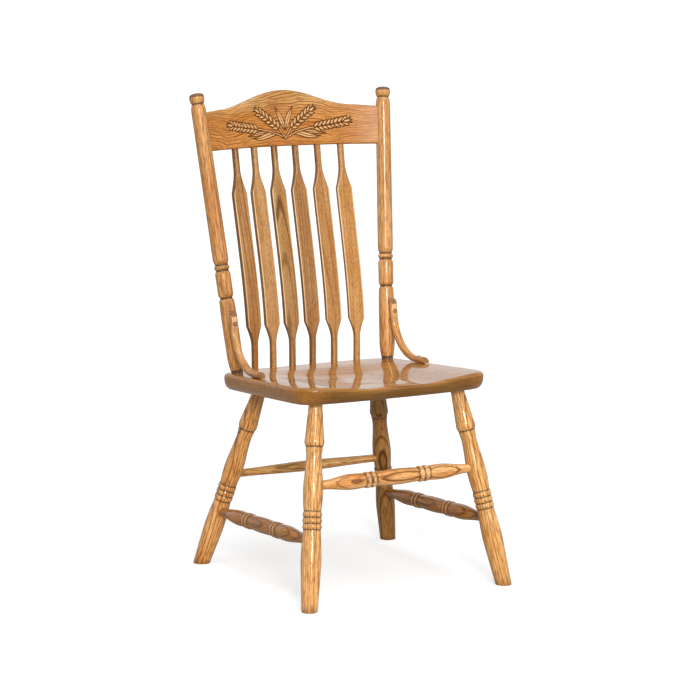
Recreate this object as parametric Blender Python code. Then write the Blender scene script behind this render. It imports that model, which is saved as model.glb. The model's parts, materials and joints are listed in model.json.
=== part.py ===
"""Paddle back dining chair, joined from turned, bent and sawn pieces of oak.

Metres, +Z up. The chair faces -Y, stands on z = 0 and is centred on its bounding box in X and Y.
Left is -X. Every tenon sits in a blind mortise, with the same small clearance all round.
"""
from dataclasses import dataclass
from math import copysign, cos, exp, pi, radians, sin, sqrt, tan

import bmesh
import bpy
from mathutils import Matrix, Vector

# Fit between two pieces that meet, and the distance at which two vertices are one
CLEARANCE = 0.0003
MERGE_DISTANCE = 0.00001

# Seat: plan outline, plank and edges
SEAT_HEIGHT = 0.440
SEAT_SLOPE = 0.062
SEAT_THICKNESS = 0.037
SEAT_WIDTH = 0.4550
SEAT_FLARE = 0.036
SEAT_DEPTH = 0.4617
SEAT_CENTRE_Y = 0.0057
SEAT_FRONT_BOW = 0.015
SEAT_BACK_BOW = 0.040
SEAT_FRONT_SQUARENESS = 9.0
SEAT_BACK_SQUARENESS = 18.0
SEAT_TOP_ROUND = 0.0085
SEAT_UNDER_RISE = 0.016
SEAT_UNDER_INSET = 0.012
SEAT_OUTLINE_POINTS = 56
SEAT_OUTLINE_STEPS = 2400
SEAT_TURN_WEIGHT = 0.060
SEAT_EDGE_STEPS = 3
SEAT_TOP_RINGS = 6
SEAT_INNER_SHARE = 0.08

# Seat: the two scoops of the saddle and the pommel between them
SADDLE_DEPTH = 0.0160
SADDLE_BACK_DEPTH = 0.0025
SADDLE_WIDTH = 0.420
SADDLE_BACK_Y = 0.150
SADDLE_RUN = 0.110
POMMEL_RISE = 0.0077
POMMEL_WIDTH = 0.050
POMMEL_BACK_Y = -0.060
POMMEL_RUN = 0.150

# Legs: centres of the sockets under the seat, in from its sides, and of the feet on the floor
FRONT_SOCKET_INSET = 0.0530
FRONT_SOCKET_Y = -0.159
FRONT_FOOT_SPACING = 0.481
REAR_SOCKET_INSET = 0.0795
REAR_SOCKET_Y = 0.142
REAR_FOOT_SPACING = 0.485
FOOT_DEPTH = 0.502
LEG_TENON_RADIUS = 0.0150
LEG_TENON_LENGTH = 0.024
FRONT_LEG_NECK = 0.0098
REAR_LEG_NECK = 0.0139
LEG_FOOT_TAPER = 0.042
LEG_SIDES = 12

# Posts: centres at the seat, in from its sides, and at the top, and the height of the chair
POST_BASE_INSET = 0.0360
POST_BASE_Y = 0.168
POST_TOP_SPACING = 0.4735
POST_TOP_Y = 0.270
BACK_HEIGHT = 1.0545
POST_FOOT_RADIUS = 0.0130
POST_FOOT_HEIGHT = 0.0065
POST_RADIUS = 0.0178
POST_HEAD_RADIUS = 0.0171
POST_TENON_LENGTH = 0.025
POST_SIDES = 12

# Stretchers: height of their centre lines on the legs, tenons and sides
FRONT_STRETCHER_HEIGHT = 0.2535
SIDE_STRETCHER_FRONT_HEIGHT = 0.1423
SIDE_STRETCHER_REAR_HEIGHT = 0.1215
REAR_STRETCHER_HEIGHT = 0.208
STRETCHER_TENON_RADIUS = 0.0100
REAR_TENON_RADIUS = 0.0088
REAR_STRETCHER_RADIUS = 0.0120
TENON_SHOW = 0.025
TENON_STOP = 0.004
STRETCHER_SIDES = 10

# Crest rail: bent board between the posts, with a bell on its top edge
CREST_DROP = 0.132
CREST_END_HEIGHT = 0.0835
CREST_BELL_RISE = 0.0405
CREST_EAVE_RISE = 0.0047
CREST_BELL_WIDTH = 0.330
CREST_SAG = 0.055
CREST_THICKNESS = 0.022
CREST_TENON_THICKNESS = 0.012
CREST_TENON_HEIGHT = 0.056
CREST_TENON_LIFT = 0.042
CREST_TENON_STOP = 0.003
CREST_COLUMNS = 28

# Paddles: stations up each one, and where they stand
PADDLE_COUNT = 6
PADDLE_BASE_SPACING = 0.0520
PADDLE_TOP_SPACING = 0.0536
PADDLE_ARC_Y = 0.2195
PADDLE_ARC_RADIUS = 0.470
PADDLE_STEM_RADIUS = 0.0077
PADDLE_WIDTH = 0.037
PADDLE_THICKNESS = 0.0125
PADDLE_TURN = radians(10.0)
PADDLE_TENON = 0.020
PADDLE_SQUARENESS = 5.0
PADDLE_LOWER_STEM = 0.055
PADDLE_LOWER_TAPER = 0.043
PADDLE_UPPER_TAPER = 0.053
PADDLE_UPPER_STEM = 0.045
PADDLE_STRAIGHT = 0.030
PADDLE_TOP_LEAN = 0.80
PADDLE_SIDES = 10
PADDLE_TAPER_STEPS = 4
PADDLE_BLADE_STEPS = 6

# Hip braces: bent rods screwed to the posts and the seat
BRACE_WIDTH = 0.0180
BRACE_THICKNESS = 0.0145
BRACE_RISE = 0.136
BRACE_REACH = 0.149
BRACE_TOP_SPLAY = 0.0015
BRACE_TOE_SPLAY = 0.0045
BRACE_BEND_RADIUS = 0.097
BRACE_NOSE = 0.015
BRACE_SCREW_INSET = 0.030
BRACE_SQUARENESS = 2.6
BRACE_SIDES = 12
BRACE_BEND_STEPS = 8

# Screws in the braces, and the plugs over them
SCREW_RADIUS = 0.0021
SCREW_HEAD_RADIUS = 0.0040
SCREW_HEAD_HEIGHT = 0.0025
SCREW_LENGTH = 0.026
SCREW_POINT = 0.005
SCREW_TIP_RADIUS = 0.0004
PLUG_RADIUS = 0.0050
PLUG_DEPTH = 0.0035
PLUG_DOME = 0.0015
PLUG_CROWN_RADIUS = 0.0020
BORE_RUN_OUT = 0.010
FASTENER_SIDES = 10

# Turning: how far a bead stands proud of the grooves beside it
BEAD_RISE = 0.0019

# Shading: an edge that turns by more than this stays sharp
SHARP_ANGLE = radians(35.0)

# Each shape is a number of steps and how far the radius has gone at a share of the way
TURNED_SHAPES = {
    "line": (1, lambda share: share),
    "ease": (5, lambda share: (1.0 - cos(pi * share)) / 2.0),
    "swell": (3, lambda share: sin(pi * share / 2.0)),
    "fall": (3, lambda share: 1.0 - cos(pi * share / 2.0)),
    "bead": (4, lambda share: share),
}

# Leg turning, as distance below the neck, radius, and the shape that leads there
LEG_TURNING = (
    (0.0640, 0.0203, "line"),
    (0.0735, 0.0211, "swell"),
    (0.0821, 0.0189, "fall"),
    (0.0831, 0.0177, "line"),
    (0.0846, 0.0183, "line"),
    (0.1020, 0.0167, "ease"),
    (0.1780, 0.0212, "ease"),
    (0.2188, 0.0186, "fall"),
    (0.2317, 0.0187, "bead"),
    (0.2446, 0.0187, "bead"),
    (0.2574, 0.0185, "bead"),
    (0.3270, 0.0219, "swell"),
)

# Post turning, as distance above the seat, radius less the post's radius, and shape
POST_TURNING = (
    (0.0400, -0.0003, "swell"),
    (0.1100, 0.0000, "line"),
    (0.1640, -0.0018, "fall"),
    (0.1665, -0.0034, "line"),
    (0.1760, -0.0008, "swell"),
    (0.2180, -0.0007, "line"),
    (0.2285, -0.0023, "fall"),
    (0.2405, -0.0024, "bead"),
    (0.2540, -0.0001, "swell"),
)

# Post head, as distance below the top, share of the head's radius, and shape
POST_HEAD = (
    (0.0430, 0.97, "line"),
    (0.0279, 0.78, "fall"),
    (0.0217, 0.95, "swell"),
    (0.0151, 0.99, "line"),
    (0.0085, 0.94, "fall"),
    (0.0060, 0.84, "line"),
    (0.0048, 0.50, "line"),
)

# Stretcher turning, as distance from the middle, radius, and shape
STRETCHER_TURNING = (
    (0.0000, 0.0173, "line"),
    (0.0520, 0.0152, "fall"),
    (0.0655, 0.0160, "bead"),
    (0.0790, 0.0156, "bead"),
    (0.1090, 0.0170, "swell"),
)

# Slanting end of a brace, as share of its length from the tip, and shares of the thickness and width left there
BRACE_NOSE_PROFILE = ((0.0, 0.18, 0.77), (0.4, 0.51, 1.0), (1.0, 1.0, 1.0))

# Finishes: base colour, roughness, metallic
OAK = ((0.46, 0.21, 0.065, 1.0), 0.30, 0.0)
OAK_SEAT = ((0.33, 0.15, 0.045, 1.0), 0.22, 0.0)
OAK_PLUG = ((0.36, 0.15, 0.045, 1.0), 0.35, 0.0)
STEEL = ((0.55, 0.55, 0.56, 1.0), 0.35, 1.0)

SIDES = {"left": -1, "right": 1}

# Squareness of a section that is a plain circle or ellipse
ROUND = 2.0


@dataclass(frozen=True)
class Axis:
    """A straight centre line from start to end."""

    start: Vector
    end: Vector

    @property
    def length(self):
        """Distance from start to end."""
        return (self.end - self.start).length

    @property
    def along(self):
        """Unit vector from start to end."""
        return (self.end - self.start).normalized()

    @property
    def turn(self):
        """Rotation that takes local Z to the axis."""
        return self.along.to_track_quat("Z", "Y")

    @property
    def matrix(self):
        """Placement of a piece modelled along local Z from the start."""
        return Matrix.LocRotScale(self.start, self.turn, None)

    def at(self, distance):
        """Point at a distance from the start."""
        return self.start + self.along * distance

    def at_height(self, height):
        """Point where the axis, or its run-on, is at a height."""
        share = (height - self.start.z) / (self.end.z - self.start.z)
        return self.start.lerp(self.end, share)


# Scene helpers

def clear_scene():
    """Remove every object that the scene starts with."""
    for existing in list(bpy.data.objects):
        bpy.data.objects.remove(existing, do_unlink=True)


def finish_material(name, finish):
    """Principled material of a finish, for one piece."""
    colour, roughness, metallic = finish
    material = bpy.data.materials.new(name)
    material.use_nodes = True
    shader = material.node_tree.nodes["Principled BSDF"]
    shader.inputs["Base Color"].default_value = colour
    shader.inputs["Roughness"].default_value = roughness
    shader.inputs["Metallic"].default_value = metallic
    return material


def mesh_from(bm, name):
    """Turn a bmesh into a mesh, with its faces pointing out."""
    bmesh.ops.remove_doubles(bm, verts=bm.verts, dist=MERGE_DISTANCE)
    bmesh.ops.recalc_face_normals(bm, faces=bm.faces)
    mesh = bpy.data.meshes.new(name)
    bm.to_mesh(mesh)
    bm.free()
    return mesh


def piece(name, mesh, finish, chair, placement=Matrix()):
    """Link a mesh as one named piece of the chair, smooth-shaded, with its own material."""
    mesh.shade_smooth()
    mesh.set_sharp_from_angle(angle=SHARP_ANGLE)
    mesh.materials.append(finish_material(name + "_finish", finish))
    made = bpy.data.objects.new(name, mesh)
    made.matrix_world = placement
    made.parent = chair
    bpy.context.collection.objects.link(made)
    return made


def cutter(name, meshes, chair):
    """Join closed meshes into one hidden cutter."""
    bm = bmesh.new()
    for mesh in meshes:
        bm.from_mesh(mesh)
        bpy.data.meshes.remove(mesh)
    joined = bpy.data.meshes.new(name)
    bm.to_mesh(joined)
    bm.free()
    made = bpy.data.objects.new(name, joined)
    made.parent = chair
    made.hide_render = True
    made.display_type = "WIRE"
    bpy.context.collection.objects.link(made)
    return made


def cut(target, tool):
    """Cut a piece with a cutter."""
    modifier = target.modifiers.new(tool.name, "BOOLEAN")
    modifier.operation = "DIFFERENCE"
    modifier.solver = "EXACT"
    modifier.object = tool


# Shape helpers

def smooth_step(share):
    """Ease from 0 to 1 as share goes from 0 to 1."""
    held = min(1.0, max(0.0, share))
    return held * held * (3.0 - 2.0 * held)


def turned_outline(stations):
    """Points (distance, radius) through stations (distance, radius, shape that leads there)."""
    points = [stations[0][:2]]
    for (begin, first, _), (end, last, shape) in zip(stations, stations[1:]):
        steps, blend = TURNED_SHAPES[shape]
        for step in range(1, steps + 1):
            share = step / steps
            bulge = BEAD_RISE * sin(pi * share) if shape == "bead" else 0.0
            points.append((begin + (end - begin) * share, first + (last - first) * blend(share) + bulge))
    return points


def lathe(name, outline, sides):
    """Mesh turned about local Z from (distance, radius) points, closed at both ends."""
    bm = bmesh.new()
    closed = [(outline[0][0], 0.0), *outline, (outline[-1][0], 0.0)]
    profile = [bm.verts.new((radius, 0.0, distance)) for distance, radius in closed]
    edges = [bm.edges.new(pair) for pair in zip(profile, profile[1:])]
    bmesh.ops.spin(bm, geom=profile + edges, axis=(0, 0, 1), cent=(0, 0, 0), angle=2.0 * pi,
                   steps=sides, use_merge=True)
    return mesh_from(bm, name)


def bore(axis, outline, sides):
    """Closed mesh in chair space, turned about an axis, for a cutter."""
    mesh = lathe("bore", outline, sides)
    mesh.transform(axis.matrix)
    return mesh


def loft(name, rings):
    """Closed mesh through rings of equal point counts, with a flat face at each end."""
    bm = bmesh.new()
    loops = [[bm.verts.new(point) for point in ring] for ring in rings]
    for lower, upper in zip(loops, loops[1:]):
        for index in range(len(lower)):
            after = (index + 1) % len(lower)
            bm.faces.new((lower[index], lower[after], upper[after], upper[index]))
    bm.faces.new(reversed(loops[0]))
    bm.faces.new(loops[-1])
    return mesh_from(bm, name)


def squared(angle, squareness):
    """Unit point (across, out) at an angle: on a circle where round, and on a squarer ring above that."""
    across = copysign(abs(cos(angle)) ** (2.0 / squareness), cos(angle))
    out = copysign(abs(sin(angle)) ** (2.0 / squareness), sin(angle))
    return across, out


def rounded_section(width, thickness, squareness, sides):
    """Points (across, out) of a section: an ellipse where round, and squarer above that."""
    points = []
    for index in range(sides):
        across, out = squared(2.0 * pi * (index + 0.5) / sides, squareness)
        points.append((across * width / 2.0, out * thickness / 2.0))
    return points


def block(origin, axes, reaches):
    """Closed box mesh: three unit axes from an origin, with a (low, high) reach along each."""
    corners = []
    for third in reaches[2]:
        for first, second in ((0, 0), (1, 0), (1, 1), (0, 1)):
            corner = origin + axes[0] * reaches[0][first] + axes[1] * reaches[1][second] + axes[2] * third
            corners.append(corner)
    return loft("block", (corners[:4], corners[4:]))


# Seat

def seat_plane(y):
    """Height of the plank's flat top."""
    return SEAT_HEIGHT + SEAT_SLOPE * (POST_BASE_Y - y)


def seat_under(y):
    """Height of the plank's underside."""
    return seat_plane(y) - SEAT_THICKNESS


def seat_top(x, y):
    """Height of the saddled top."""
    across = cos(pi * x / SADDLE_WIDTH) ** 2 if abs(x) < SADDLE_WIDTH / 2.0 else 0.0
    along = smooth_step((SADDLE_BACK_Y - y) / SADDLE_RUN)
    scoop = SADDLE_BACK_DEPTH + (SADDLE_DEPTH - SADDLE_BACK_DEPTH) * along
    pommel = exp(-((x / POMMEL_WIDTH) ** 2)) * smooth_step((POMMEL_BACK_Y - y) / POMMEL_RUN)
    return seat_plane(y) - scoop * across + POMMEL_RISE * pommel


def seat_edge(angle):
    """Plan point of the seat's edge at an angle, anticlockwise from the middle of the right side."""
    squareness = SEAT_BACK_SQUARENESS if sin(angle) > 0.0 else SEAT_FRONT_SQUARENESS
    across, along = squared(angle, squareness)
    half_width = (SEAT_WIDTH - SEAT_FLARE * along / 2.0) / 2.0
    bow = SEAT_BACK_BOW if along > 0.0 else -SEAT_FRONT_BOW
    y = SEAT_CENTRE_Y + along * SEAT_DEPTH / 2.0 - bow * across ** 2 * abs(along)
    return Vector((across * half_width, y))


def seat_outline():
    """Plan points of the seat's edge, closer together where it turns."""
    fine = [seat_edge(2.0 * pi * step / SEAT_OUTLINE_STEPS) for step in range(SEAT_OUTLINE_STEPS)]
    runs = [0.0]
    for index, point in enumerate(fine):
        ahead = fine[(index + 1) % len(fine)] - point
        behind = point - fine[index - 1]
        runs.append(runs[-1] + ahead.length + SEAT_TURN_WEIGHT * behind.angle(ahead))
    chosen = []
    reached = 0
    for index in range(SEAT_OUTLINE_POINTS):
        wanted = runs[-1] * index / SEAT_OUTLINE_POINTS
        while runs[reached + 1] < wanted:
            reached += 1
        share = (wanted - runs[reached]) / (runs[reached + 1] - runs[reached])
        chosen.append(fine[reached].lerp(fine[(reached + 1) % len(fine)], share))
    return chosen


def inset_outline(outline, inset):
    """Plan points moved in from the edge, square to it."""
    moved = []
    for index, point in enumerate(outline):
        run = outline[(index + 1) % len(outline)] - outline[index - 1]
        inward = Vector((-run.y, run.x)).normalized()
        moved.append(point + inward * inset)
    return moved


def seat_mesh():
    """Plank with a saddled top, a rounded top edge and a lower edge that rolls under."""
    outline = seat_outline()
    quarter = [pi / 2.0 * step / SEAT_EDGE_STEPS for step in range(SEAT_EDGE_STEPS + 1)]
    rings = []
    for angle in quarter:
        ring = []
        for point in inset_outline(outline, SEAT_UNDER_INSET * (1.0 - sin(angle))):
            wall = seat_top(point.x, point.y) - seat_under(point.y)
            rise = min(SEAT_UNDER_RISE, wall - SEAT_TOP_ROUND) * (1.0 - cos(angle))
            ring.append((point.x, point.y, seat_under(point.y) + rise))
        rings.append(ring)
    for angle in quarter:
        inner = inset_outline(outline, SEAT_TOP_ROUND * (1.0 - cos(angle)))
        drop = SEAT_TOP_ROUND * (1.0 - sin(angle))
        rings.append([(point.x, point.y, seat_top(point.x, point.y) - drop) for point in inner])
    middle = Vector((0.0, SEAT_CENTRE_Y))
    for ring_number in range(1, SEAT_TOP_RINGS + 1):
        share = 1.0 - (1.0 - SEAT_INNER_SHARE) * ring_number / SEAT_TOP_RINGS
        shrunk = [middle + (point - middle) * share for point in inset_outline(outline, SEAT_TOP_ROUND)]
        rings.append([(point.x, point.y, seat_top(point.x, point.y)) for point in shrunk])
    return loft("seat", rings)


def make_seat(chair):
    """Seat plank."""
    return piece("seat", seat_mesh(), OAK_SEAT, chair)


# Legs

def leg_axis(row, side):
    """Centre line of a leg, from the seat's underside down to the floor."""
    if row == "front":
        socket_x, socket_y = SEAT_WIDTH / 2.0 - FRONT_SOCKET_INSET, FRONT_SOCKET_Y
        foot_x, foot_y = FRONT_FOOT_SPACING / 2.0, -FOOT_DEPTH / 2.0
    else:
        socket_x, socket_y = SEAT_WIDTH / 2.0 - REAR_SOCKET_INSET, REAR_SOCKET_Y
        foot_x, foot_y = REAR_FOOT_SPACING / 2.0, FOOT_DEPTH / 2.0
    sign = SIDES[side]
    top = Vector((sign * socket_x, socket_y, seat_under(socket_y)))
    return Axis(top, Vector((sign * foot_x, foot_y, 0.0)))


def leg_outline(axis, neck):
    """Turned outline of a leg, from the end of its tenon to past the floor."""
    stations = [(-LEG_TENON_LENGTH, LEG_TENON_RADIUS, "line"), (neck, LEG_TENON_RADIUS, "line")]
    stations += [(neck + below, radius, shape) for below, radius, shape in LEG_TURNING]
    swell_at, swell_radius, _ = stations[-1]
    past_floor = max(axis.length, swell_at) + 2.0 * LEG_TENON_RADIUS
    stations.append((past_floor, swell_radius - LEG_FOOT_TAPER * (past_floor - swell_at), "line"))
    return turned_outline(stations)


def saw_level(mesh, placement):
    """Saw a placed mesh off at the floor and close the cut."""
    to_local = placement.inverted()
    bm = bmesh.new()
    bm.from_mesh(mesh)
    everything = bm.verts[:] + bm.edges[:] + bm.faces[:]
    sawn = bmesh.ops.bisect_plane(bm, geom=everything, plane_co=to_local @ Vector(),
                                  plane_no=to_local.to_3x3() @ Vector((0.0, 0.0, -1.0)), clear_outer=True)
    rim = [part for part in sawn["geom_cut"] if isinstance(part, bmesh.types.BMEdge)]
    bmesh.ops.contextual_create(bm, geom=rim)
    bmesh.ops.recalc_face_normals(bm, faces=bm.faces)
    bm.to_mesh(mesh)
    bm.free()


def make_legs(chair, seat):
    """Four turned legs, sawn level at the floor, in sockets under the seat."""
    legs = {}
    sockets = []
    for row, neck in (("front", FRONT_LEG_NECK), ("rear", REAR_LEG_NECK)):
        for side in SIDES:
            name = row + "_leg_" + side
            axis = leg_axis(row, side)
            mesh = lathe(name, leg_outline(axis, neck), LEG_SIDES)
            saw_level(mesh, axis.matrix)
            legs[row, side] = piece(name, mesh, OAK, chair, axis.matrix)
            deep = -LEG_TENON_LENGTH - CLEARANCE
            wide = LEG_TENON_RADIUS + CLEARANCE
            sockets.append(bore(axis, ((deep, wide), (neck + LEG_TENON_RADIUS, wide)), LEG_SIDES))
    cut(seat, cutter("leg_sockets", sockets, chair))
    return legs


# Stretchers

def stretcher_outline(length, turning, tenon_radius):
    """Turned outline that is alike from the middle to each end, tenons included."""
    half = length / 2.0
    outward = [*turning, (half - TENON_SHOW, tenon_radius, "ease"), (half - TENON_STOP, tenon_radius, "line")]
    right = [(half + distance, radius) for distance, radius in turned_outline(outward)]
    left = [(length - distance, radius) for distance, radius in reversed(right[1:])]
    return left + right


def make_stretcher(name, axis, turning, tenon_radius, joined_legs, chair):
    """One stretcher, and its mortises in the two legs that hold it."""
    mesh = lathe(name, stretcher_outline(axis.length, turning, tenon_radius), STRETCHER_SIDES)
    piece(name, mesh, OAK, chair, axis.matrix)
    wide = tenon_radius + CLEARANCE
    deep = TENON_STOP - CLEARANCE
    near = bore(axis, ((deep, wide), (2.0 * TENON_SHOW, wide)), STRETCHER_SIDES)
    far = bore(axis, ((axis.length - 2.0 * TENON_SHOW, wide), (axis.length - deep, wide)), STRETCHER_SIDES)
    mortises = cutter(name + "_mortises", (near, far), chair)
    for leg in joined_legs:
        cut(leg, mortises)


def make_stretchers(chair, legs):
    """Front, side and rear stretchers between the centre lines of the legs."""
    def between(first, second, first_height, second_height):
        return Axis(leg_axis(*first).at_height(first_height), leg_axis(*second).at_height(second_height))

    pair = (("front", "left"), ("front", "right"))
    axis = between(*pair, FRONT_STRETCHER_HEIGHT, FRONT_STRETCHER_HEIGHT)
    joined = [legs[leg] for leg in pair]
    make_stretcher("front_stretcher", axis, STRETCHER_TURNING, STRETCHER_TENON_RADIUS, joined, chair)
    for side in SIDES:
        pair = (("front", side), ("rear", side))
        axis = between(*pair, SIDE_STRETCHER_FRONT_HEIGHT, SIDE_STRETCHER_REAR_HEIGHT)
        joined = [legs[leg] for leg in pair]
        name = "side_stretcher_" + side
        make_stretcher(name, axis, STRETCHER_TURNING, STRETCHER_TENON_RADIUS, joined, chair)
    pair = (("rear", "left"), ("rear", "right"))
    axis = between(*pair, REAR_STRETCHER_HEIGHT, REAR_STRETCHER_HEIGHT)
    joined = [legs[leg] for leg in pair]
    plain = ((0.0, REAR_STRETCHER_RADIUS, "line"),)
    make_stretcher("rear_stretcher", axis, plain, REAR_TENON_RADIUS, joined, chair)


# Back posts

def post_axis(side):
    """Centre line of a back post, from the seat to its top."""
    sign = SIDES[side]
    base = Vector((sign * (SEAT_WIDTH / 2.0 - POST_BASE_INSET), POST_BASE_Y, seat_plane(POST_BASE_Y)))
    return Axis(base, Vector((sign * POST_TOP_SPACING / 2.0, POST_TOP_Y, BACK_HEIGHT)))


def post_outline(axis):
    """Turned outline of a post: tenon, foot, rings, plain shaft and head."""
    stations = [(-POST_TENON_LENGTH, POST_FOOT_RADIUS, "line"), (POST_FOOT_HEIGHT, POST_FOOT_RADIUS, "line")]
    stations += [(above, POST_RADIUS + thinner, shape) for above, thinner, shape in POST_TURNING]
    stations += [(axis.length - below, POST_HEAD_RADIUS * share, shape) for below, share, shape in POST_HEAD]
    return turned_outline(stations)


def make_posts(chair, seat):
    """Two turned posts in sockets in the seat."""
    posts = {}
    sockets = []
    for side in SIDES:
        axis = post_axis(side)
        mesh = lathe("back_post_" + side, post_outline(axis), POST_SIDES)
        posts[side] = piece("back_post_" + side, mesh, OAK, chair, axis.matrix)
        wide = POST_FOOT_RADIUS + CLEARANCE
        deep = -POST_TENON_LENGTH - CLEARANCE
        sockets.append(bore(axis, ((deep, wide), (POST_FOOT_RADIUS, wide)), POST_SIDES))
    cut(seat, cutter("post_sockets", sockets, chair))
    return posts


# Crest rail

def crest_bottom():
    """Height of the crest rail's lower edge."""
    return BACK_HEIGHT - CREST_DROP


def crest_top(x, half):
    """Height of the crest rail's top edge: a bell in the middle, and eaves that fall to the ends."""
    bell = CREST_BELL_WIDTH / 2.0
    if abs(x) < bell:
        lift = CREST_EAVE_RISE + (CREST_BELL_RISE - CREST_EAVE_RISE) * (1.0 + cos(pi * x / bell)) / 2.0
    else:
        lift = CREST_EAVE_RISE * (half - abs(x)) / (half - bell)
    return crest_bottom() + CREST_END_HEIGHT + lift


def crest_radius(height):
    """Radius in plan of the bent crest rail, whose middle lies behind the posts by the sag."""
    half = post_axis("right").at_height(height).x
    return (half ** 2 + CREST_SAG ** 2) / (2.0 * CREST_SAG)


def crest_middle(x, height):
    """Point in the middle of the crest rail's thickness."""
    radius = crest_radius(height)
    post_y = post_axis("right").at_height(height).y
    return Vector((x, post_y + CREST_SAG - radius + sqrt(radius ** 2 - x ** 2), height))


def crest_back(x, height):
    """Unit vector square to the crest rail, towards its back."""
    radius = crest_radius(height)
    rearward = sqrt(1.0 - (x / radius) ** 2)
    lean = post_axis("right").along
    return Vector((x / radius, rearward, -rearward * lean.y / lean.z)).normalized()


def crest_half(height):
    """Half length of the crest rail at a height, tenons included."""
    return post_axis("right").at_height(height).x - CREST_TENON_STOP


def crest_mesh():
    """Bent board whose ends run into the posts."""
    rings = []
    shallow = CREST_THICKNESS / 2.0
    for column in range(CREST_COLUMNS + 1):
        share = 2.0 * column / CREST_COLUMNS - 1.0
        low = crest_bottom()
        low_x = share * crest_half(low)
        high = crest_top(low_x, crest_half(low))
        high_x = share * crest_half(high)
        corners = ((low_x, low, -1), (high_x, high, -1), (high_x, high, 1), (low_x, low, 1))
        rings.append([crest_middle(x, height) + crest_back(x, height) * (shallow * face)
                      for x, height, face in corners])
    return loft("crest_rail", rings)


def crest_tenon(side, grown):
    """Block around the crest rail's tenon in a post, grown by a clearance on every face."""
    axis = post_axis(side)
    height = crest_bottom() + CREST_TENON_LIFT
    origin = axis.at_height(height)
    back = crest_back(origin.x, height)
    inward = axis.along.cross(back).normalized()
    if inward.x * SIDES[side] > 0.0:
        inward = -inward
    thick = CREST_TENON_THICKNESS / 2.0 + grown
    tall = CREST_TENON_HEIGHT / 2.0 + grown
    stop = CREST_TENON_STOP / 2.0 - grown
    return block(origin, (inward, axis.along.normalized(), inward.cross(axis.along).normalized()),
                 ((stop, 2.0 * POST_RADIUS), (-tall, tall), (-thick, thick)))


def make_crest(chair, posts):
    """Crest rail, coped to the posts and tenoned into them."""
    crest = piece("crest_rail", crest_mesh(), OAK, chair)
    for side, post in posts.items():
        axis = post_axis(side)
        cope = bore(axis, ((axis.length - 2.0 * CREST_DROP, POST_HEAD_RADIUS + CLEARANCE),
                           (axis.length + CREST_DROP, POST_HEAD_RADIUS + CLEARANCE)), POST_SIDES)
        coping = cutter("crest_cope_" + side, (cope,), chair)
        cut(coping, cutter("crest_tenon_" + side, (crest_tenon(side, 0.0),), chair))
        cut(crest, coping)
        cut(post, cutter("crest_slot_" + side, (crest_tenon(side, CLEARANCE),), chair))
    return crest


# Paddles

def paddle_ends(place):
    """Where a paddle's centre line leaves the seat and meets the crest rail, for a place from the middle."""
    base_x = place * PADDLE_BASE_SPACING
    top_x = place * PADDLE_TOP_SPACING
    base_y = PADDLE_ARC_Y - PADDLE_ARC_RADIUS + sqrt(PADDLE_ARC_RADIUS ** 2 - base_x ** 2)
    return Vector((base_x, base_y, seat_top(base_x, base_y))), crest_middle(top_x, crest_bottom())


def paddle_point(base, top, height):
    """Centre of a paddle at a height above the seat: upright at first, then bent back to the crest rail."""
    rise = top.z - base.z
    bent = (height - PADDLE_STRAIGHT) / (rise - PADDLE_STRAIGHT)
    held = min(1.0, max(0.0, bent))
    back = smooth_step(held) + PADDLE_TOP_LEAN * (held ** 2 * (held - 1.0) + max(0.0, bent - 1.0))
    return Vector((base.x + (top.x - base.x) * height / rise, base.y + (top.y - base.y) * back,
                   base.z + height))


def paddle_ring(base, top, height, half_breadth, squareness, turn):
    """Level ring of a paddle at a height above the seat; half_breadth is (half width, half thickness)."""
    centre = paddle_point(base, top, height)
    section = rounded_section(2.0 * half_breadth[0], 2.0 * half_breadth[1], squareness, PADDLE_SIDES)
    across = Vector((cos(turn), sin(turn), 0.0))
    out = Vector((-sin(turn), cos(turn), 0.0))
    return [centre + across * first + out * second for first, second in section]


def paddle_breadth(height, rise):
    """Half width, half thickness and squareness of a paddle at a height, between seat and crest rail."""
    up = (height - PADDLE_LOWER_STEM) / PADDLE_LOWER_TAPER
    down = (rise - PADDLE_UPPER_STEM - height) / PADDLE_UPPER_TAPER
    share = 1.0 - cos(pi / 2.0 * min(1.0, max(0.0, min(up, down))))
    wide = PADDLE_STEM_RADIUS + (PADDLE_WIDTH / 2.0 - PADDLE_STEM_RADIUS) * share
    thick = PADDLE_STEM_RADIUS + (PADDLE_THICKNESS / 2.0 - PADDLE_STEM_RADIUS) * share
    return (wide, thick), ROUND + (PADDLE_SQUARENESS - ROUND) * share


def paddle_heights(rise):
    """Heights of a paddle's rings: tenons, stems, tapers and blade."""
    taper_end = PADDLE_LOWER_STEM + PADDLE_LOWER_TAPER
    flare_start = rise - PADDLE_UPPER_STEM - PADDLE_UPPER_TAPER
    heights = [-PADDLE_TENON, 0.0]
    for begin, end, steps in ((PADDLE_LOWER_STEM, taper_end, PADDLE_TAPER_STEPS),
                              (taper_end, flare_start, PADDLE_BLADE_STEPS),
                              (flare_start, rise - PADDLE_UPPER_STEM, PADDLE_TAPER_STEPS)):
        heights += [begin + (end - begin) * step / steps for step in range(steps)]
    return heights + [rise - PADDLE_UPPER_STEM, rise, rise + PADDLE_TENON]


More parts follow.
